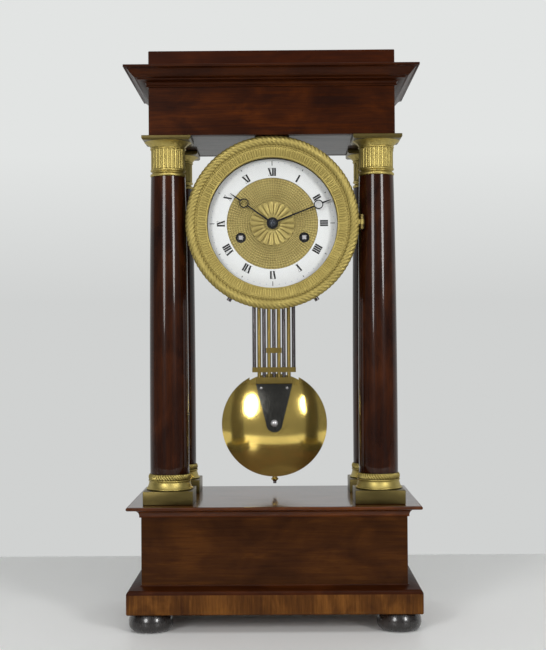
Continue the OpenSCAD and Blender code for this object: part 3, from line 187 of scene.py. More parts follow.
class Value:
    """A shader socket that takes part in Python sums: each operator adds a Math node"""

    def __init__(self, paint, socket):
        self.paint = paint
        self.socket = socket

    def math(self, operation, *others):
        return self.paint.node("Math", {"operation": operation}, dict(enumerate((self, *others))))

    def __add__(self, other):
        return self.math("ADD", other)

    def __mul__(self, other):
        return self.math("MULTIPLY", other)

    __rmul__ = __mul__

    def __sub__(self, other):
        return self.math("SUBTRACT", other)

    def __rsub__(self, other):
        return (self * -1) + other


class Paint:
    """A material whose nodes are added by one method"""

    def __init__(self, name):
        self.material = bpy.data.materials.new(name)
        self.material.use_nodes = True
        self.tree = self.material.node_tree
        self.shader = self.tree.nodes["Principled BSDF"]

    def plug(self, socket, value):
        """Links a socket or sets its value."""
        if isinstance(value, Value):
            self.tree.links.new(value.socket, socket)
        elif getattr(socket, "type", "") == "RGBA" and len(value) == 3:
            socket.default_value = (*value, 1)
        else:
            socket.default_value = value

    def node(self, kind, settings=None, sockets=None, out=0):
        """Adds a node with its settings and sockets and gives one of its outputs."""
        made = self.tree.nodes.new("ShaderNode" + kind)
        for key, value in (settings or {}).items():
            setattr(made, key, value)
        for key, value in (sockets or {}).items():
            self.plug(made.inputs[key], value)
        return Value(self, made.outputs[out])

    def place(self, scale=(1, 1, 1), at=(0, 0, 0)):
        """Object coordinates, moved so that `at` is the origin and then scaled."""
        coords = self.node("TexCoord", out="Object")
        shifted = self.node("VectorMath", {"operation": "SUBTRACT"}, {0: coords, 1: at})
        return self.node("VectorMath", {"operation": "MULTIPLY"}, {0: shifted, 1: scale})

    def noise(self, scale, where, detail=4, distortion=0, rough=0.5):
        """Noise from 0 to 1."""
        return self.node("TexNoise", None, {
            "Vector": where, "Scale": scale, "Detail": detail, "Distortion": distortion, "Roughness": rough})

    def ramp(self, value, *stops):
        """Colour of a value through a ramp of (place, colour) stops."""
        made = self.node("ValToRGB", None, {"Fac": value})
        elements = made.socket.node.color_ramp.elements
        while len(elements) < len(stops):
            elements.new(1)
        for element, (place, colour) in zip(elements, stops):
            element.position = place
            element.color = (*colour, 1)
        return made

    def span(self, value, low, high, to_low=0, to_high=1):
        """Maps low..high to another span, clamped."""
        return self.node("MapRange", None, {
            "Value": value, "From Min": low, "From Max": high, "To Min": to_low, "To Max": to_high})

    def mix(self, factor, first, second):
        """Mixes two colours."""
        return self.node("Mix", {"data_type": "RGBA"}, {0: factor, 6: first, 7: second}, out=2)

    def aged(self, colour, mask, low, high, most, share):
        """A colour that turns towards a darker shade of itself where a mask is high."""
        return self.mix(self.span(mask, low, high, 0, most), colour, shade(colour, share))

    def scaled(self, colour, share):
        """A colour times a value."""
        return self.node("VectorMath", {"operation": "SCALE"}, {0: colour, "Scale": share})

    def radius(self, where):
        """Distance from the origin."""
        return self.node("VectorMath", {"operation": "LENGTH"}, {0: where}, out="Value")

    def axis(self, where, letter):
        """One coordinate of a place."""
        return self.node("SeparateXYZ", None, {0: where}, out=letter)

    def bump(self, height, distance, strength=1):
        """Normal of a height in metres."""
        return self.node("Bump", None, {"Height": height, "Distance": distance, "Strength": strength})

    def finish(self, **inputs):
        """Sets the shader's sockets, named with underscores, and gives the material."""
        for key, value in inputs.items():
            self.plug(self.shader.inputs[key.replace("_", " ")], value)
        return self.material


def mahogany(name, case, grain, seed, tone, gloss=0.34, coat=0.03, calm=0.24):
    """Polished mahogany with its grain along one axis, toned for its board."""
    paint = Paint(name)
    where = paint.place(stretched(grain, 0.05), (seed, 0.7 * seed, 0.3 * seed))
    wide = paint.place(stretched(grain, 0.6), (0.5 * seed, seed, 0.2 * seed))
    figure = paint.noise(30, wide, 5, 1.4)
    streak = paint.noise(420, where, 5, 0.3, 0.65)
    pore = paint.noise(1900, where, 2)
    wood = paint.ramp(figure * 0.6 + streak * 0.4, (0.5 - calm, case.wood_dark), (0.5, case.wood_mid),
                      (0.5 + calm, case.wood_light))
    toned = paint.node("VectorMath", {"operation": "MULTIPLY"}, {0: wood, 1: tone})
    pored = paint.span(pore, 0.28, 0.46, 0.72, 1.0)
    return paint.finish(
        Base_Color=paint.scaled(toned, pored),
        Roughness=paint.span(streak, 0.3, 0.7, gloss + 0.12, gloss),
        Specular_IOR_Level=0.06,
        Coat_Weight=coat,
        Coat_Roughness=0.06,
        Normal=paint.bump(pore, 0.00002, 0.3),
    )


def ebonised(name, case):
    """Black stained and polished wood, rubbed brown in places."""
    paint = Paint(name)
    where = paint.place()
    rub = paint.noise(60, where, 4)
    grain = paint.noise(700, paint.place((1, 1, 0.2)), 3)
    colour = paint.mix(paint.span(rub, 0.5, 0.8, 0, 0.35), case.ebony, case.wood_mid)
    return paint.finish(
        Base_Color=colour, Roughness=paint.span(grain, 0.3, 0.7, 0.22, 0.36),
        Coat_Weight=0.5, Coat_Roughness=0.1, Normal=paint.bump(grain, 0.00003, 0.4))


def gilding(name, light, recess_shade, rough=0.34, relief=0.00006, reach=0.0022):
    """Gilt bronze: matt ground, brighter where it is rubbed, with painted shade that browns it in the
    recesses.
    """
    paint = Paint(name)
    where = paint.place()
    grit = paint.noise(2600, where, 3)
    cloud = paint.noise(90, where, 5, 0.4)
    # Painted shade: ambient occlusion turns the colour towards the recess shade colour in hollows and
    # crevices.
    open_to_air = paint.node("AmbientOcclusion", {"samples": 6}, {"Distance": reach}, out="AO")
    hollow = paint.span(open_to_air, 0.35, 0.95, 1, 0)
    toned = paint.aged(light, cloud, 0.35, 0.75, 0.4, 0.82)
    colour = paint.mix(hollow, toned, recess_shade)
    return paint.finish(
        Base_Color=colour, Metallic=1.0,
        Roughness=paint.span(cloud + 0.5 * grit, 0.5, 1.0, rough - 0.06, rough + 0.1),
        Normal=paint.bump(grit, relief, 0.5))


def turned_metal(name, colour, rough, axis_at, axis="Y", lines=2400, metallic=1.0):
    """Metal with fine lathe marks round an axis through a point."""
    paint = Paint(name)
    flat = {"X": (0, 1, 1), "Y": (1, 0, 1), "Z": (1, 1, 0)}[axis]
    where = paint.place(flat, axis_at)
    radius = paint.radius(where)
    mark = paint.noise(lines, paint.node("CombineXYZ", None, {"X": radius}), 3)
    cloud = paint.noise(45, paint.place(), 5, 0.6)
    spot = paint.noise(420, paint.place(), 3)
    aged = paint.aged(colour, cloud, 0.4, 0.75, 0.55, 0.62)
    spotted = paint.mix(paint.span(spot, 0.62, 0.75, 0, 0.5), aged, shade(colour, 0.4))
    return paint.finish(
        Base_Color=spotted, Metallic=metallic,
        Roughness=paint.span(mark + 0.4 * cloud, 0.5, 0.95, rough - 0.04, rough + 0.08),
        Normal=paint.bump(mark, 0.00002, 0.3))


def drawn_metal(name, colour, rough, along, metallic=1.0):
    """Metal with fine marks along one axis, slightly toned by age."""
    paint = Paint(name)
    mark = paint.noise(2200, paint.place(stretched(along, 0.03)), 3)
    cloud = paint.noise(70, paint.place(), 4, 0.5)
    return paint.finish(
        Base_Color=paint.aged(colour, cloud, 0.4, 0.8, 0.5, 0.55), Metallic=metallic,
        Roughness=paint.span(mark, 0.35, 0.65, rough - 0.05, rough + 0.09),
        Normal=paint.bump(mark, 0.00002, 0.3))


def engine_turned(name, gilt, dial):
    """Gilt centre with a woven pattern that is cut round the dial's middle, with painted light and shade
    along the cuts and painted shade between the petals.
    """
    paint = Paint(name)
    where = paint.place((1, 0, 1), (0, 0, DIAL_Z))
    angle = paint.axis(where, "Z").math("ARCTAN2", paint.axis(where, "X"))
    radius = paint.radius(where)
    cuts_round, cut_step = 50, 2.1 * MM
    rings = radius * (math.pi / cut_step)
    woven = (angle * cuts_round + rings).math("SINE") * (angle * cuts_round - rings).math("SINE")
    inside = paint.span(radius, dial.rosette - 0.2 * MM, dial.rosette + 0.2 * MM, 1, 0)
    # Painted shade: the petals are lighter at their crests and darker where they meet.
    petal = (angle * (dial.petals / 2)).math("SINE").math("ABSOLUTE")
    petal_shade = paint.span(petal, 0.05, 0.7, 0.56, 0.84)
    cut = woven * (1 - inside)
    # Painted light and shade: outside the rosette the woven cuts lighten and darken the ground.
    painted_light_and_shade = inside * petal_shade + (1 - inside) * paint.span(woven, -0.8, 0.8, 0.53, 0.74)
    grit = paint.noise(2400, paint.place(), 3)
    cloud = paint.noise(60, paint.place(), 4)
    ground = paint.mix(paint.span(cloud, 0.4, 0.8, 0, 0.3), gilt.gilt, gilt.gilt_deep)
    return paint.finish(
        Base_Color=paint.scaled(ground, painted_light_and_shade),
        Metallic=0.55,
        Roughness=paint.span(grit, 0.3, 0.7, 0.34, 0.48),
        Normal=paint.bump(cut * 0.8 + grit * 0.2, 0.0004, 0.8))


def vitreous_enamel(name, dial):
    """Fired white enamel with a slightly uneven gloss."""
    paint = Paint(name)
    wave = paint.noise(130, paint.place(), 3)
    tone = paint.noise(40, paint.place(), 3)
    colour = paint.aged(dial.enamel, tone, 0.35, 0.75, 0.5, 0.94)
    return paint.finish(
        Base_Color=colour, Roughness=paint.span(wave, 0.3, 0.7, 0.12, 0.2), Coat_Weight=0.6,
        Coat_Roughness=0.14, Normal=paint.bump(wave, 0.00003, 0.2))


def ink(name, colour):
    """Fired enamel paint for numerals and dots."""
    paint = Paint(name)
    edge = paint.noise(1500, paint.place(), 2)
    worn = paint.mix(paint.span(edge, 0.4, 0.75, 0, 0.35), colour, [0.5 * c + 0.02 for c in colour])
    return paint.finish(Base_Color=worn, Roughness=paint.span(edge, 0.3, 0.7, 0.25, 0.4))


def clear_glass(name):
    """Thin clear glass with faint dust."""
    paint = Paint(name)
    dust = paint.noise(260, paint.place(), 4)
    return paint.finish(
        Base_Color=(0.02, 0.022, 0.022), Roughness=0.2, Alpha=paint.span(dust, 0.45, 0.8, 0.006, 0.016))


def floor_paint(stage):
    """Smooth pale table top."""
    paint = Paint("pale_floor")
    cloud = paint.noise(3, paint.place(), 3)
    colour = paint.aged(stage.floor, cloud, 0.3, 0.7, 1, 0.97)
    return paint.finish(Base_Color=colour, Roughness=0.5)


def wall_paint(stage):
    """Pale wall that camera, mirrors and glass see alike from the front, with painted shade that darkens it
    towards its foot; from behind it is clear.
    """
    paint = Paint("pale_backdrop")
    # Painted shade: the wall's colour darkens towards its foot, below half a metre.
    painted_foot_shade = (0.3, 0.3, 0.3)
    low, high, low_share = 0.3, 0.5, 0.72
    rise = paint.span(paint.axis(paint.place(), "Z"), low, high, low_share, 1)
    colour = paint.mix(rise, painted_foot_shade, stage.backdrop)
    camera, mirror, glass = (
        paint.node("LightPath", out=f"Is {kind} Ray") for kind in ("Camera", "Glossy", "Transmission"))
    factor = (camera + mirror + glass).math("MINIMUM", 1)
    glow = paint.node("Emission", None, {"Color": colour, "Strength": 1})
    output = paint.tree.nodes["Material Output"]
    shown = paint.node("MixShader", None, {0: factor, 1: Value(paint, paint.shader.outputs[0]), 2: glow})
    behind = paint.node("NewGeometry", out="Backfacing")
    one_sided = paint.node("MixShader", None, {0: behind, 1: shown, 2: paint.node("BsdfTransparent")})
    paint.tree.links.new(one_sided.socket, output.inputs["Surface"])
    return paint.finish(Base_Color=stage.backdrop, Roughness=0.8)


def as_mesh(bm, name):
    """Mesh of a bmesh, which is used up."""
    mesh = bpy.data.meshes.new(name)
    bm.to_mesh(mesh)
    bm.free()
    return mesh


def add(name, data):
    """A new object in the scene."""
    made = bpy.data.objects.new(name, data)
    bpy.context.scene.collection.objects.link(made)
    return made


def arc(x, z, radius, start, end, steps=8):
    """Points on an arc, in degrees from the outward direction."""
    angles = (math.radians(start + (end - start) * i / steps) for i in range(steps + 1))
    return [(x + radius * math.cos(a), z + radius * math.sin(a)) for a in angles]


def straight(start, end, steps):
    """Points on a line, with both ends."""
    return [tuple(a + (b - a) * i / steps for a, b in zip(start, end)) for i in range(steps + 1)]


def swept(start, end, power, steps):
    """Points from start to end, whose first coordinate follows a power of the height."""
    wide, tall = end[0] - start[0], end[1] - start[1]
    return [(start[0] + wide * (i / steps) ** power, start[1] + tall * i / steps) for i in range(steps + 1)]


def lathe(profile, steps):
    """A (radius, height) profile, in millimetres, spun round the Z axis."""
    bm = bmesh.new()
    verts = [bm.verts.new((r * MM, 0, z * MM)) for r, z in profile]
    edges = [bm.edges.new(pair) for pair in zip(verts, verts[1:])]
    bmesh.ops.spin(
        bm, geom=verts + edges, axis=(0, 0, 1), cent=(0, 0, 0), angle=TURN, steps=steps, use_merge=True)
    bmesh.ops.remove_doubles(bm, verts=bm.verts, dist=1e-7)
    bmesh.ops.recalc_face_normals(bm, faces=bm.faces)
    return bm


def moulded(half_x, half_y, profile):
    """A board whose (overhang, height) edge profile, in metres, runs round all four sides."""
    bm = bmesh.new()
    first = profile[0]
    verts = bmesh.ops.create_grid(bm, x_segments=1, y_segments=1, size=1)["verts"]
    signs = [(math.copysign(1, v.co.x), math.copysign(1, v.co.y)) for v in verts]
    for vert, (sx, sy) in zip(verts, signs):
        vert.co = (sx * (half_x + first[0]), sy * (half_y + first[0]), first[1])
    edges = list(bm.edges)
    for over, height in profile[1:]:
        grown = bmesh.ops.extrude_edge_only(bm, edges=edges)["geom"]
        edges = [g for g in grown if isinstance(g, bmesh.types.BMEdge)]
        for vert in (g for g in grown if isinstance(g, bmesh.types.BMVert)):
            x, y = math.copysign(half_x + over, vert.co.x), math.copysign(half_y + over, vert.co.y)
            vert.co = (x, y, height)
    bmesh.ops.contextual_create(bm, geom=edges)
    return bm


def soften(bm, edges, soft):
    """Rounds edges."""
    bmesh.ops.bevel(
        bm, geom=edges, offset=soft, offset_type="OFFSET", affect="EDGES", segments=3, profile=0.5,
        material=-1)


def block(low, high, soft):
    """A box with softened edges."""
    bm = bmesh.new()
    size = Vector(high) - Vector(low)
    place = Matrix.Translation((Vector(low) + Vector(high)) / 2) @ Matrix.Diagonal((*size, 1))
    bmesh.ops.create_cube(bm, size=1, matrix=place)
    soften(bm, list(bm.edges), soft)
    return bm


def rod(bm, matrix, radius, tall, segments, top_r=None):
    """Adds a capped rod, or a cone when its top has a radius of its own."""
    bmesh.ops.create_cone(
        bm, cap_ends=True, segments=segments, radius1=radius, radius2=top_r or radius, depth=tall,
        matrix=matrix)


def carcass(low, high, wall, soft):
    """Four walls, open at the top and the bottom, with softened corners."""
    bm = bmesh.new()
    place = Matrix.Translation((low + high) / 2) @ Matrix.Diagonal((*(high - low), 1))
    bmesh.ops.create_cube(bm, size=1, matrix=place)
    bm.normal_update()
    bmesh.ops.delete(bm, geom=[f for f in bm.faces if abs(f.normal.z) > 0.5], context="FACES_ONLY")
    upright = [e for e in bm.edges if abs(e.verts[0].co.z - e.verts[1].co.z) > soft]
    soften(bm, upright, soft)
    bmesh.ops.solidify(bm, geom=list(bm.faces), thickness=wall)
    return bm


def join(*parts):
    """One bmesh of several, which are used up."""
    whole = bmesh.new()
    for part in parts:
        mesh = as_mesh(part, "part")
        whole.from_mesh(mesh)
        bpy.data.meshes.remove(mesh)
    return whole


def moved(bm, matrix):
    """The bmesh, transformed."""
    bm.transform(matrix)
    return bm


def on_dial(y):
    """Matrix that stands a piece turned round Z on the dial's axis, growing to the front from y."""
    return Matrix.Translation((0, y, DIAL_Z)) @ Matrix.Rotation(math.pi / 2, 4, "X")


def piece(name, bm, material, stands_for=(), body="case", sharp=38, flats=False):
    """Makes a bmesh a finished piece that rides on a body and stands for CAD nodes."""
    bmesh.ops.recalc_face_normals(bm, faces=bm.faces)
    mesh = as_mesh(bm, name)
    mesh.shade_smooth()
    mesh.set_sharp_from_angle(angle=math.radians(sharp))
    mesh.materials.append(material)
    made = add(name, mesh)
    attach(made, body)
    if stands_for:
        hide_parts(*stands_for)
    if flats:
        even = made.modifiers.new("Even flats", "WEIGHTED_NORMAL")
        even.keep_sharp = True
        even.weight = 100
    return made


def carve(made, cutter):
    """Cuts a bmesh out of a piece for good."""
    mesh = as_mesh(cutter, "cutter")
    tool = add("cutter", mesh)
    cut = made.modifiers.new("Cut", "BOOLEAN")
    cut.operation = "DIFFERENCE"
    cut.solver = "EXACT"
    cut.object = tool
    graph = bpy.context.evaluated_depsgraph_get()
    carved = bpy.data.meshes.new_from_object(made.evaluated_get(graph))
    made.modifiers.remove(cut)
    old = made.data
    made.data = carved
    carved.name = old.name
    bpy.data.meshes.remove(old)
    bpy.data.objects.remove(tool)
    bpy.data.meshes.remove(mesh)


def corners(kind, z):
    """Each corner's name, its node of a kind, and the matrix to its place at a height."""
    for corner in CORNERS:
        at = middle(f"{kind}_{corner}")
        yield corner, f"{kind}_{corner}", Matrix.Translation((at.x, at.y, z))


def dress(material, *nodes):
    """Gives CAD nodes a material."""
    for node in nodes:
        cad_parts[node].material_slots[0].material = material


def polar(vert):
    """Radius and angle of a vert round Z."""
    return math.hypot(vert.co.x, vert.co.y), math.atan2(vert.co.y, vert.co.x)


def from_crest(angle, repeats):
    """How far an angle lies from the middle of its repeat, from 0 to 1."""
    return abs(2 * ((repeats * angle / TURN) % 1) - 1)


def dome(*shares):
    """Height of a round dome at shares of its radius: 1 in the middle and 0 from the rim on."""
    return math.sqrt(max(0, 1 - sum(share ** 2 for share in shares)))


def round_ended(share, up, wide, shoulder, tip):
    """Height, from 0 to 1, of a leaf that narrows to a round end from its shoulder on."""
    half = wide * dome(max(0, (up - shoulder) / tip))
    return dome(share / half) if half > share else 0


def rope(bm, ring_r, height, core_r, strands, lean, depth, upright=False):
    """Presses twisted strands, which lean evenly across the ring, into a round section, all in metres."""
    for vert in bm.verts:
        radius, around = polar(vert)
        section = math.atan2(vert.co.z - height, radius - ring_r)
        slide = math.sin(section) if upright else -math.cos(section)
        crest = abs(math.sin((strands * around + lean * slide) / 2)) ** 0.7
        reach = core_r - depth * (1 - crest)
        flat = ring_r + reach * math.cos(section)
        vert.co = (flat * math.cos(around), flat * math.sin(around), height + reach * math.sin(section))


def press_reeds(bm, reeds, start):
    """Raises plain reeds between strips of beads on a capital's neck."""
    bead, bead_w, high = 1.55 * MM, 0.22, 0.4 * MM
    for vert in bm.verts:
        radius, angle = polar(vert)
        share = (reeds * angle / TURN) % 1
        if share < 0.5:
            rise = high * dome(4 * share - 1)
        else:
            rise = high * dome((share - 0.75) / bead_w, 2 * (((vert.co.z - start) / bead) % 1) - 1)
        vert.co.x *= 1 + rise / radius
        vert.co.y *= 1 + rise / radius


def press_flare(bm, leaves, start, tall):
    """Raises pointed leaves with a ridge on a capital's flare."""
    high = 0.5 * MM
    for vert in bm.verts:
        up = (vert.co.z - start) / tall
        if up > 0:
            share = from_crest(polar(vert)[1], leaves)
            edge = math.sqrt(max(0, 1 - up ** 3))
            vert.co.z -= high * max(0, edge - share) ** 0.5 * math.sin(math.pi * min(1, up + 0.15))


def press_band(bm, leaves, inner, width):
    """Raises a row of round-ended leaves on the bezel's band, with a dart between each two."""
    leaf_h, dart_h = 0.5 * MM, 0.35 * MM
    for vert in bm.verts:
        radius, angle = polar(vert)
        up = (radius - inner) / width
        share = from_crest(angle, leaves)
        groove = 1 - 0.7 * math.exp(-(share / 0.16) ** 2)
        leaf = groove * round_ended(share, up, 0.86, 0.55, 0.38)
        dart = dome((1 - share) / 0.3, (up - 0.86) / 0.12)
        vert.co.z += leaf_h * leaf + dart_h * dart


def press_rosette(bm, dial, front):
    """Raises round-ended petals round the middle of the dial."""
    inner, petal_h = 6.2 * MM, 0.9 * MM
    for vert in bm.verts:
        radius, angle = polar(vert)
        up = (radius - inner) / (dial.rosette - inner)
        if vert.co.z >= front - 1e-6 and 0 < up < 1.04:
            petal = round_ended(from_crest(angle, dial.petals), up, 0.9, 0.8, 0.22)
            vert.co.z += petal_h * petal * min(1, 4 * up) * (0.5 + 0.5 * up)


class CLOCK_OT_feet(bpy.types.Operator):
    """Turns the four bun feet"""
    bl_idname = "clock.feet"
    bl_label = "Bun Feet"

    def execute(self, context):
        low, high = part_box("bun_feet")
        tall = (high.z - low.z) / MM
        foot_r, pad_r, neck_r, belly_h = 19.0, 12.0, 16.4, 6.8
        steps, fullness = 10, 2.2
        under = [(pad_r + (foot_r - pad_r) * math.sin(a), belly_h * (1 - math.cos(a)))
                 for a in (math.pi / 2 * i / steps for i in range(steps + 1))]
        over = swept((foot_r, belly_h), (neck_r, tall), fullness, steps)
        profile = [(0, 0), *under, *over[1:], (0, tall)]
        inset = foot_r * MM
        feet = []
        for x in (low.x + inset, high.x - inset):
            for y in (low.y + inset, high.y - inset):
                feet.append(moved(lathe(profile, 64), Matrix.Translation((x, y, 0))))
        piece("turned_feet", join(*feet), ebonised("ebonised_feet", context.scene.clock_case),
              ["bun_feet"])
        return {"FINISHED"}


class CLOCK_OT_case(bpy.types.Operator):
    """Builds the veneered blocks and the moulded boards of the case"""
    bl_idname = "clock.case_boards"
    bl_label = "Case"

    def execute(self, context):
        case = context.scene.clock_case
        soft = case.edge_soft
        self.boards(case)
        for node, name, wall, seed, tone, calm in (
                ("base_box", "veneered_base", 10 * MM, 3.1, (0.9, 0.84, 0.56), 0.2),
                ("frieze_box", "veneered_frieze", 8 * MM, 5.3, (0.74, 0.45, 0.12), 0.15)):
            low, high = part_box(node)
            wood = mahogany(name + "_wood", case, "X", seed, tone, calm=calm)
            piece(name, carcass(low, high, wall, soft), wood, [node], flats=True)
        low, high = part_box("top_block")
        wood = mahogany("veneered_top_wood", case, "X", 7.7, (0.74, 0.42, 0.22))
        piece("veneered_top", block(low, high, soft), wood, ["top_block"], flats=True)
        dress(mahogany("soffit_wood", case, "X", 2.2, (0.5, 0.42, 0.35), coat=0.34), "soffit_board")
        return {"FINISHED"}

    def boards(self, case):
        """Plinth, deck and cornice, each round its CAD node's box."""
        low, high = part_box("plinth")
        half_x, half_y, tall = high.x, high.y, high.z - low.z
        slope, nose, shoulder = 6.5 * MM, 1.5 * MM, 3.9 * MM
        edge = [(-1.0 * MM, 0), *arc(-nose, nose, nose, -90, 0, 5), (0, tall - slope)]
        self.board(["plinth"], "crossbanded_plinth", half_x, half_y, low.z, edge, case, 11.3,
                   (1.7, 1.85, 1.45), grain="Z", calm=0.15)
        edge = [*arc(-shoulder, tall - slope, shoulder, 0, 90, 8),
                (-10.8 * MM, tall - 0.6 * MM), (-11.2 * MM, tall)]
        self.board([], "plinth_moulding", half_x, half_y, low.z, edge, case, 6.1, (0.72, 0.5, 0.34))

        low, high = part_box("base_top")
        tall = high.z - low.z
        lip, foot, step = 3.2 * MM, -10.35 * MM, 1.2 * MM
        cove = tall - lip - step
        edge = [(foot, 0), (foot, step),
                *arc(foot + cove, step, cove, 180, 90, 8),
                *arc(-lip / 2, tall - lip / 2, lip / 2, -90, 90, 10)]
        self.board(["base_top"], "moulded_deck", high.x, high.y, low.z, edge, case, 1.9, (1.36, 1.0, 0.5),
                   gloss=0.14, coat=0.44)

        low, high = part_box("cornice")
        tall = high.z - low.z
        over = high.x - FRIEZE_W / 2
        bead, fillet, band, sway = 0.9 * MM, 1 * MM, 2 * MM, 0.09
        hollow_in, hollow, hollow_z = 1.4 * MM, 7.6 * MM, 5.2 * MM
        edge = arc(bead, bead, bead, -90, 90, 8)
        edge += [(hollow_in + (hollow - hollow_in) * (1 - math.cos(math.pi / 2 * i / 10)),
                  2 * bead + (hollow_z - 2 * bead) * math.sin(math.pi / 2 * i / 10)) for i in range(11)]
        edge += [(hollow + fillet, hollow_z), (hollow + fillet, hollow_z + fillet)]
        start, end = (hollow + 1.6 * fillet, hollow_z + fillet), (over - 0.6 * MM, tall - band)
        edge += [(start[0] + (end[0] - start[0]) * t,
                  start[1] + (end[1] - start[1]) * (t - sway * math.sin(TURN * t)))
                 for t in (i / 14 for i in range(15))]
        edge += [(over, tall - band), *arc(over - 0.5 * MM, tall - 0.5 * MM, 0.5 * MM, 0, 90, 4)]
        self.board(["cornice"], "moulded_cornice", FRIEZE_W / 2, FRIEZE_D / 2, low.z, edge, case, 4.4,
                   (0.69, 0.46, 0.27), coat=0.1)

    def board(self, nodes, name, half_x, half_y, z, edge, case, seed, tone, grain="X", **finish):
        """One moulded board that stands for its nodes."""
        bm = moved(moulded(half_x, half_y, edge), Matrix.Translation((0, 0, z)))
        wood = mahogany(name + "_wood", case, grain, seed, tone, **finish)
        piece(name, bm, wood, nodes, flats=True)


class CLOCK_OT_shafts(bpy.types.Operator):
    """Turns the four polished column shafts"""
    bl_idname = "clock.shafts"
    bl_label = "Column Shafts"

    def execute(self, context):
        foot_r, tall = SHAFT_FOOT_R / MM, SHAFT_H / MM
        neck_r, entasis = 15.0, 2.8
        steps = 40
        outline = swept((foot_r, 0), (neck_r, tall), entasis, steps)
        profile = [(0, 0), (foot_r - 0.4, 0), (foot_r, 0.6), *outline[1:], (0, tall)]
        for index, (corner, node, here) in enumerate(corners("column_shaft", SHAFT_Z)):
            wood = mahogany(f"shaft_wood_{corner}", context.scene.clock_case, "Z", 2.6 * index + 1.3,
                            (0.5, 0.36, 0.36), gloss=0.2, coat=0.4, calm=0.16)
            piece(f"polished_shaft_{corner}", moved(lathe(profile, 96), here), wood, [node])
        return {"FINISHED"}


class CLOCK_OT_column_bases(bpy.types.Operator):
    """Casts the gilt column bases with their rope mouldings"""
    bl_idname = "clock.column_bases"
    bl_label = "Column Bases"

    def execute(self, context):
        gilt = context.scene.clock_gilt
        half = COLUMN_FOOT_W / 2
        foot_h = 11.8 * MM
        # Each gilding's second colour is its painted shade in the recesses.
        finish = gilding("gilt_base", shade(gilt.gilt, 0.9), shade(gilt.gilt, 0.3), 0.42, reach=0.0014)
        plain = gilding("toned_brass", gilt.plain_brass, shade(gilt.plain_brass, 0.5), 0.36)
        for corner, node, here in corners("column_base", BASE_Z):
            foot = block((-half, -half, 0), (half, half, foot_h), 0.5 * MM)
            piece(f"square_foot_{corner}", moved(foot, here), plain)
            base = self.turned(gilt, foot_h / MM)
            piece(f"turned_base_{corner}", moved(base, here), finish, [node])
        return {"FINISHED"}

    def turned(self, gilt, foot_h):
        """Torus, hollow and ring under a twisted rope."""
        torus_r, torus_h, spread, flare_h = 20.3, 1.8, 1.6, 6.4
        rope_r, rope_h, bow, twist, depth = 18.45, 5.3, 4.0, 6.0, 0.9
        core_r, top = 15, BASE_H / MM
        rope_z = top - rope_h / 2
        neck_r = torus_r - torus_h / 2 - spread
        flare_r = (spread ** 2 + flare_h ** 2) / (2 * spread)
        lean = math.degrees(math.asin(flare_h / flare_r))
        torus = arc(torus_r - torus_h / 2, foot_h + torus_h / 2, torus_h / 2, -90, 80, 8)
        profile = [(core_r, foot_h), *torus,
                   *arc(neck_r + flare_r, top - rope_h, flare_r, 180 + lean, 180, 10)[:-2],
                   *arc(neck_r + 0.1, top - rope_h - 0.2, 0.6, -70, 90, 6), (core_r, top - rope_h + 0.4)]
        ring_r, half = rope_r - bow, math.degrees(math.asin(rope_h / 2 / bow))
        strand = lathe(arc(ring_r, rope_z, bow, -half, half, 14), gilt.base_strands * 10)
        rope(strand, ring_r * MM, rope_z * MM, bow * MM, gilt.base_strands, twist, depth * MM, upright=True)
        cap = lathe([(core_r - 1, top), (ring_r + 3, top), (ring_r + 2, top - rope_h)], 64)
        return join(lathe(profile, 96), strand, cap)


class CLOCK_OT_capitals(bpy.types.Operator):
    """Casts the gilt capitals with reeds, beads and leaves"""
    bl_idname = "clock.capitals"
    bl_label = "Capitals"
    abacus_h = 3.8

    def execute(self, context):
        gilt = context.scene.clock_gilt
        # Each gilding's second colour is its painted shade in the recesses.
        finish = gilding("gilt_capital", gilt.gilt, shade(gilt.gilt, 0.55), 0.46, reach=0.0012)
        plain = gilding("toned_abacus", gilt.plain_brass, shade(gilt.plain_brass, 0.5), 0.36)
        for corner, node, here in corners("capital", CAPITAL_Z):
            piece(f"gilt_capital_{corner}", moved(self.cast(gilt), here), finish, [node])
            piece(f"square_abacus_{corner}", moved(self.abacus(), here), plain)
        return {"FINISHED"}

    def cast(self, gilt):
        """One capital, with its foot at the origin."""
        collar_r, neck_r = 15.5, 14.3
        collar_h, neck_h = 6.9, 17.0
        tall = CAPITAL_H / MM
        ring = [(12, 0), *arc(collar_r - 1.5, 1.5, 1.5, -90, 90, 10), (collar_r - 1.2, 3.2),
                *arc(collar_r - 0.9, 4.1, 0.9, 250, 110, 6), *arc(collar_r - 1.1, 5.8, 1.0, -80, 90, 8),
                (neck_r - 0.5, collar_h)]
        neck = lathe(straight((neck_r, collar_h), (neck_r, collar_h + neck_h), 64), gilt.reeds * 12)
        press_reeds(neck, gilt.reeds, collar_h * MM)
        flare_z = collar_h + neck_h
        flare_h = tall - self.abacus_h - flare_z
        flare_r, leaves = ABACUS_W / MM / 2 - 0.6, 16
        flare = [(neck_r - 0.4, flare_z - 0.2), *arc(neck_r + 0.5, flare_z + 0.7, 0.8, -90, 70, 6)]
        bowl_r, bowl_z, bowl_h = neck_r + 0.7, flare_z + 1.4, flare_h - 1.4
        flare += swept((bowl_r, bowl_z), (flare_r, bowl_z + bowl_h), 1.9, 16)
        bowl = lathe(flare, 192)
        press_flare(bowl, leaves, bowl_z * MM, bowl_h * MM)
        return join(lathe(ring, 96), neck, bowl)

    def abacus(self):
        """Square slab on top of a capital."""
        half = ABACUS_W / 2
        low, high = CAPITAL_H - self.abacus_h * MM, CAPITAL_H
        return moulded(half, half, [(-1.2 * MM, low), (-0.1 * MM, low + 1.2 * MM), (0, low + 1.5 * MM),
                                    (0, high - 0.3 * MM), (-0.3 * MM, high)])


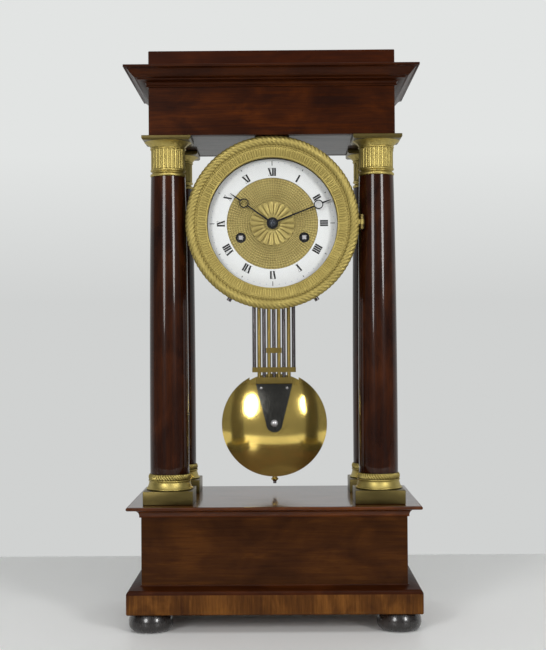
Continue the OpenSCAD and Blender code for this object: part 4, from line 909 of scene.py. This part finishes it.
class CLOCK_OT_bezel(bpy.types.Operator):
    """Chases the gilt bezel: rope, beads and a band of leaves"""
    bl_idname = "clock.bezel"
    bl_label = "Bezel"

    def execute(self, context):
        gilt = context.scene.clock_gilt
        outer = BEZEL_R / MM
        rope_w, rise, edge_h, twist, depth = 8.3, 2.0, 6.75, 8.2, 0.55
        core_r = (rope_w ** 2 / 4 + rise ** 2) / (2 * rise)
        ring_r, ring_h = outer - rope_w / 2, edge_h + rise - core_r
        spread = math.degrees(math.asin(rope_w / 2 / core_r))
        skin_r = core_r + 0.15
        strand = lathe(arc(ring_r, ring_h, skin_r, 90 - spread, 90 + spread, 18), gilt.bezel_strands * 10)
        rope(strand, ring_r * MM, ring_h * MM, skin_r * MM, gilt.bezel_strands, twist, depth * MM)
        bead_ring, bead_r, bead_h = 65.6, 0.8, 7.1
        band_out, band_in, opening = 64.9, 57.6, 56.0
        band = lathe(straight((band_in, 5.7), (band_out, 7.2), 12), gilt.bezel_leaves * 16)
        press_band(band, gilt.bezel_leaves, band_in * MM, (band_out - band_in) * MM)
        glass_r, ledge_h, rope_in = GLASS_R / MM + 0.2, 4.0, outer - rope_w
        plain = lathe(
            [(band_in + 0.2, 5.6), (band_in, 6.1), *arc(band_in - 0.8, 5.5, 0.7, 60, 180, 6), (opening, 5.2),
             (opening, ledge_h), (glass_r, ledge_h), (glass_r, 0), (outer - 1.6, 0),
             (outer - 0.4, edge_h - 0.6), (outer - 0.5, edge_h)], 256)
        seat = lathe([(band_out, 7.1), (bead_ring, 7.2), (rope_in + 0.3, 7.1), (rope_in + 1, 6.2)], 256)
        beads = bmesh.new()
        for i in range(2 * gilt.bezel_leaves):
            angle = TURN * i / (2 * gilt.bezel_leaves)
            at = Vector((bead_ring * math.cos(angle), bead_ring * math.sin(angle), bead_h)) * MM
            bmesh.ops.create_uvsphere(
                beads, u_segments=8, v_segments=5, radius=bead_r * MM, matrix=Matrix.Translation(at))
        # The gilding's second colour is its painted shade in the recesses.
        finish = gilding("chased_gilding", shade(gilt.gilt, 0.78), shade(gilt.gilt, 0.44), 0.54, reach=0.001)
        whole = moved(join(strand, band, plain, seat, beads), on_dial(SEAT_Y))
        piece("chased_bezel", join(whole, self.hinge()), finish, ["bezel"], "bezel_door")
        dress(clear_glass("bezel_pane"), "bezel_glass")
        return {"FINISHED"}

    @staticmethod
    def hinge():
        """The bezel's own hinge knuckle and its tab."""
        pin = middle("bezel_hinge_pin")
        knuckle_r, knuckle_h, tab_t = 2.0 * MM, 4.0 * MM, 2.0 * MM
        barrel = bmesh.new()
        rod(barrel, Matrix.Translation((pin.x, pin.y, DIAL_Z)), knuckle_r, knuckle_h, 32)
        tab = block((BEZEL_R - 3 * MM, pin.y - tab_t / 2, DIAL_Z - knuckle_h / 2),
                    (pin.x - 0.4 * MM, pin.y + tab_t / 2, DIAL_Z + knuckle_h / 2), 0.3 * MM)
        return join(barrel, tab)


class CLOCK_OT_dial(bpy.types.Operator):
    """Makes the enamel ring with its marks and the engine-turned centre"""
    bl_idname = "clock.dial"
    bl_label = "Dial"
    numerals = ("XII", "I", "II", "III", "IIII", "V", "VI", "VII", "VIII", "IX", "X", "XI")
    widths = {"I": 1.86 * MM, "V": 3.2 * MM, "X": 3.3 * MM}
    thick, thin, raised = 1.5 * MM, 0.22 * MM, 0.07 * MM

    def execute(self, context):
        dial = context.scene.clock_dial
        gilt = context.scene.clock_gilt
        self.ring(dial)
        black = ink("numeral_black", dial.ink)
        bm = bmesh.new()
        for hour, numeral in enumerate(self.numerals):
            self.numeral(bm, numeral, hour, dial)
            self.hour_tick(bm, hour)
        piece("painted_numerals", bm, black)
        dots = bmesh.new()
        for minute in range(60):
            if minute % 5:
                self.dot(dots, minute)
        piece("minute_dots", dots, ink("dot_grey", dial.dot_ink))
        self.centre(dial, gilt)
        return {"FINISHED"}

    def ring(self, dial):
        """Enamel ring with a rolled edge."""
        inner, outer, front = CENTRE_R / MM + 0.1, DIAL_R / MM, extent("dial_ring").y / MM
        profile = [(inner, 0), *arc(inner + 0.5, front - 0.5, 0.5, 180, 90, 5),
                   *arc(outer - 0.5, front - 0.5, 0.5, 90, 0, 5), (outer, 0), (inner, 0)]
        bm = moved(lathe(profile, 192), on_dial(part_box("dial_ring")[1].y))
        piece("enamel_ring", bm, vitreous_enamel("white_enamel", dial), ["dial_ring"])

    def stroke(self, bm, hour, foot, head, width):
        """A raised stroke from foot to head, in (sideways, radius) at an hour's place."""
        turn = Matrix.Rotation(-TURN * hour / 12, 4, "Z")
        shape = Matrix(((width, head[0] - foot[0], 0, (foot[0] + head[0]) / 2),
                        (0, head[1] - foot[1], 0, (foot[1] + head[1]) / 2),
                        (0, 0, self.raised, 0), (0, 0, 0, 1)))
        bmesh.ops.create_cube(bm, size=1, matrix=on_dial(DIAL_Y) @ turn @ shape)

    def numeral(self, bm, numeral, hour, dial):
        """One Roman numeral whose foot points to the middle."""
        low, high = dial.numeral_in, dial.numeral_in + dial.numeral_h
        at = -sum(self.widths[letter] for letter in numeral) / 2
        for letter in numeral:
            wide = self.widths[letter]
            x0, x1, x = at, at + wide, at + wide / 2
            if letter == "I":
                self.stroke(bm, hour, (x, low), (x, high), self.thick)
            elif letter == "V":
                self.stroke(bm, hour, (x + 0.1 * MM, low), (x0 + 0.45 * MM, high), self.thick)
                self.stroke(bm, hour, (x + 0.1 * MM, low), (x1 - 0.3 * MM, high), self.thin)
            else:
                self.stroke(bm, hour, (x1 - 0.5 * MM, low), (x0 + 0.5 * MM, high), self.thick)
                self.stroke(bm, hour, (x0 + 0.4 * MM, low), (x1 - 0.4 * MM, high), self.thin)
            for end in (low, high):
                self.stroke(bm, hour, (x, end - self.thin / 2), (x, end + self.thin / 2), wide - 0.15 * MM)
            at = x1

    def hour_tick(self, bm, hour):
        """Tick over a numeral, longer at the quarters."""
        low, high = (50.2, 54.2) if hour % 3 == 0 else (52.2, 53.8)
        wide = 0.6 * MM
        self.stroke(bm, hour, (0, low * MM), (0, high * MM), wide)

    def dot(self, bm, minute):
        """A small round minute dot."""
        angle, ring_r = TURN * minute / 60, 53 * MM
        place = Matrix.Translation((ring_r * math.sin(angle), ring_r * math.cos(angle), 0))
        rod(bm, on_dial(DIAL_Y) @ place, 0.42 * MM, self.raised, 10, top_r=0.36 * MM)

    def centre(self, dial, gilt):
        """Gilt disc with a pressed rosette, pierced for the arbors, and black rings of painted shade behind
        the winding holes.
        """
        front = extent("dial_centre").y / MM
        hole_r, outer = 4.3, CENTRE_R / MM
        inner_steps = straight((hole_r, front), (dial.rosette / MM + 0.6, front), 40)
        profile = [(hole_r, 0), *inner_steps, *straight((dial.rosette / MM + 1.2, front), (outer, front), 8),
                   (outer, 0), (hole_r, 0)]
        bm = lathe(profile, dial.petals * 16)
        press_rosette(bm, dial, front * MM)
        made = piece("engine_turned_centre", moved(bm, on_dial(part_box("dial_centre")[1].y)),
                     engine_turned("woven_gilt", gilt, dial), ["dial_centre"])
        key_hole_r, hole_shade_in, hole_shade_out, hole_shade_t, hole_shade_y = 4.5 * MM, 2.7, 4.45, 0.8, -46.2 * MM
        keys = [Matrix.Translation((side * KEY_AT.x, 0, KEY_AT.z - DIAL_Z)) for side in (-1, 1)]
        holes = bmesh.new()
        for key in keys:
            rod(holes, key @ on_dial(CENTRE_Y), key_hole_r, 10 * MM, 48)
        carve(made, holes)
        # Painted shade: black rings behind the winding holes stand in for the shade inside the drum.
        hole_shade_ring = [(hole_shade_in, 0), (hole_shade_out, 0), (hole_shade_out, hole_shade_t), (hole_shade_in, hole_shade_t), (hole_shade_in, 0)]
        hole_shade_rings = join(*(moved(lathe(hole_shade_ring, 48), key @ on_dial(hole_shade_y)) for key in keys))
        piece("painted_hole_shade", hole_shade_rings, ink("hole_shade_black", dial.ink))


class CLOCK_OT_movement(bpy.types.Operator):
    """Finishes the hands, the drum and the movement"""
    bl_idname = "clock.movement"
    bl_label = "Hands and Movement"

    def execute(self, context):
        metal = context.scene.clock_metal
        middle_axis = (0, 0, DIAL_Z)
        dress(drawn_metal("blued_hand", metal.blued, 0.3, "X", 0.2), "hour_hand", "minute_hand")
        dress(turned_metal("blued_boss", metal.boss, 0.2, middle_axis, metallic=0.4), "hand_nut")
        dull = context.scene.clock_gilt.plain_brass
        dress(turned_metal("drum_brass", dull, 0.36, middle_axis), "drum_shell", "dial_plate")
        dress(turned_metal("plate_brass", metal.brass, 0.24, middle_axis, lines=1500),
              "front_plate", "back_plate")
        dress(turned_metal("wheel_brass", metal.brass, 0.28, middle_axis, lines=3000), "going_barrel",
              "strike_barrel", "going_second_arbor", "centre_arbor", "third_arbor", "escape_arbor",
              "minute_wheel", "hour_wheel", "strike_second_arbor", "pin_wheel_arbor", "fly_arbor")
        bronze, bell_at = shade(metal.brass, 0.92), tuple(middle("bell"))
        dress(turned_metal("bell_bronze", bronze, 0.22, bell_at, lines=1200), "bell")
        dress(drawn_metal("cock_brass", metal.brass, 0.3, "Z"), "suspension_cock")
        dress(drawn_metal("key_steel", metal.key, 0.3, "Y", 0.5),
              "going_winding_arbor", "strike_winding_arbor")
        dress(drawn_metal("turned_steel", metal.steel, 0.24, "Y"),
              "anchor", "cannon_pinion", "hammer", "mainsprings")
        dress(drawn_metal("case_steel", metal.steel, 0.28, "Z"), "tie_rods", "case_screws", "bezel_hinge_pin")
        return {"FINISHED"}


class CLOCK_OT_pendulum(bpy.types.Operator):
    """Finishes the gridiron and polishes the bob"""
    bl_idname = "clock.pendulum"
    bl_label = "Pendulum"

    def execute(self, context):
        metal = context.scene.clock_metal
        dress(drawn_metal("rod_steel", metal.steel, 0.26, "Z"), "steel_rods", "suspension_spring")
        dress(drawn_metal("rod_brass", shade(metal.brass, 0.5), 0.34, "Z"), "brass_rods")
        dress(drawn_metal("shield_steel", metal.shield, 0.16, "Z"), "bob_shield")
        dress(drawn_metal("screw_steel", metal.key, 0.2, "X", 0.6), "shield_screws")
        dress(turned_metal("bob_polish", metal.bob, 0.11, tuple(BOB_AT), lines=1800, metallic=0.86), "bob")
        self.rating_nut(metal)
        return {"FINISHED"}

    def rating_nut(self, metal):
        """Knurled nut under the bob."""
        radius, tall = extent("rating_nut").x / 2 / MM, extent("rating_nut").z / MM
        bore, hub, rim = 1.5, 2.4, radius - 0.5
        knurls, knurl_share = 30, 0.06
        bm = lathe([(bore, 0), (1.9, 0), (2.2, 0.9), (rim, 0.9), (radius, 1.3), (radius, tall - 1.5),
                    (rim, tall - 1.1), (hub, tall - 1.1), (hub, tall - 0.2), (2.2, tall), (bore, tall),
                    (bore, 0)], 60)
        for vert in bm.verts:
            out, angle = polar(vert)
            if out > (radius - 0.2) * MM:
                groove = 1 - knurl_share * (math.cos(knurls * angle) > 0)
                vert.co.x *= groove
                vert.co.y *= groove
        here = Matrix.Translation((NUT_AT.x, NUT_AT.y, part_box("rating_nut")[0].z))
        finish = turned_metal("nut_brass", metal.brass, 0.2, tuple(NUT_AT), "Z")
        piece("knurled_nut", moved(bm, here), finish, ["rating_nut"], "nut")


class CLOCK_OT_stage(bpy.types.Operator):
    """Sets the floor, the backdrop, the lights and the camera"""
    bl_idname = "clock.stage"
    bl_label = "Stage"

    def execute(self, context):
        stage = context.scene.clock_stage
        self.sweep(stage)
        self.world(context.scene)
        self.lights()
        self.camera(context.scene, stage)
        context.scene.view_settings.view_transform = "Standard"
        return {"FINISHED"}

    def sweep(self, stage):
        """Pale floor and a pale wall behind it."""
        wide, front, back, gap, tall, drop = 4.0, -0.55, 0.31, 0.25, 5.2, 1.4
        flat = Matrix.Translation((0, (front + back) / 2, 0))
        self.sheet("studio_floor", flat, 2 * wide, back - front, floor_paint(stage))
        upright = Matrix.Translation((0, back + gap, tall / 2 - drop)) @ Matrix.Rotation(math.pi / 2, 4, "X")
        self.sheet("studio_backdrop", upright, 2 * wide, tall, wall_paint(stage))

    @staticmethod
    def sheet(name, place, wide, tall, material):
        """Adds a flat stage piece."""
        bm = bmesh.new()
        bmesh.ops.create_grid(
            bm, x_segments=1, y_segments=1, size=0.5, matrix=place @ Matrix.Diagonal((wide, tall, 1, 1)))
        mesh = as_mesh(bm, name)
        mesh.materials.append(material)
        made = add(name, mesh)

    @staticmethod
    def world(scene):
        """Even dim room."""
        world = bpy.data.worlds.new("studio_room")
        world.use_nodes = True
        room = world.node_tree.nodes["Background"]
        room.inputs["Color"].default_value = (0.95, 0.97, 1.0, 1)
        room.inputs["Strength"].default_value = 0.2
        scene.world = world

    @staticmethod
    def lights():
        """Two round soft lamps at the front and a wide one overhead."""
        aim = Vector((0, 0, 0.28))
        for name, azimuth, far, height, size, power in (
                ("left_lamp", -25, 1.65, 0.62, (0.42, 0.68), 10.8),
                ("right_lamp", 34, 1.65, 0.62, (0.36, 0.54), 10.6),
                ("top_lamp", 8, 0.9, 1.7, (1.4, 1.0), 7.8)):
            turn = math.radians(azimuth)
            at = Vector((far * math.sin(turn), -far * math.cos(turn), height))
            lamp = bpy.data.lights.new(name, "AREA")
            lamp.shape = "ELLIPSE"
            lamp.size, lamp.size_y = size
            lamp.energy = power
            made = add(name, lamp)
            made.location = at
            made.rotation_euler = (aim - at).to_track_quat("-Z", "Y").to_euler()

    @staticmethod
    def camera(scene, stage):
        """Camera at the photograph's place."""
        lens = bpy.data.cameras.new("front_camera")
        lens.lens = stage.lens
        lens.sensor_width = 36
        lens.clip_start = 0.01
        camera = add("front_camera", lens)
        pitch, roll, yaw = stage.turn
        camera.matrix_world = (
            Matrix.Translation(stage.eye) @ Matrix.Rotation(yaw, 4, "Z") @ Matrix.Rotation(pitch, 4, "X")
            @ Matrix.Rotation(roll, 4, "Y") @ Matrix.Rotation(math.pi / 2, 4, "X"))
        scene.camera = camera


STEPS = (CLOCK_OT_feet, CLOCK_OT_case, CLOCK_OT_shafts, CLOCK_OT_column_bases, CLOCK_OT_capitals,
         CLOCK_OT_bezel, CLOCK_OT_dial, CLOCK_OT_movement, CLOCK_OT_pendulum, CLOCK_OT_stage)
GROUPS = {"clock_case": ClockCase, "clock_gilt": ClockGilt, "clock_dial": ClockDial,
          "clock_metal": ClockMetal, "clock_stage": ClockStage}


class CLOCK_PT_dresser(bpy.types.Panel):
    """Lists the steps that dress the clock"""
    bl_idname = "CLOCK_PT_dresser"
    bl_label = "Portico Clock"
    bl_space_type = "VIEW_3D"
    bl_region_type = "UI"
    bl_category = "Clock"

    def draw(self, context):
        for step in STEPS:
            self.layout.operator(step.bl_idname)
        for name, group in GROUPS.items():
            settings = getattr(context.scene, name)
            box = self.layout.box()
            for prop in group.__annotations__:
                box.prop(settings, prop)


CLASSES = (*GROUPS.values(), *STEPS, CLOCK_PT_dresser)


def register():
    for cls in CLASSES:
        bpy.utils.register_class(cls)
    for name, group in GROUPS.items():
        setattr(bpy.types.Scene, name, PointerProperty(type=group))


def unregister():
    for name in GROUPS:
        delattr(bpy.types.Scene, name)
    for cls in reversed(CLASSES):
        bpy.utils.unregister_class(cls)


def main():
    register()
    for step in STEPS:
        family, name = step.bl_idname.split(".")
        getattr(getattr(bpy.ops, family), name)()


if __name__ == "__main__":
    main()
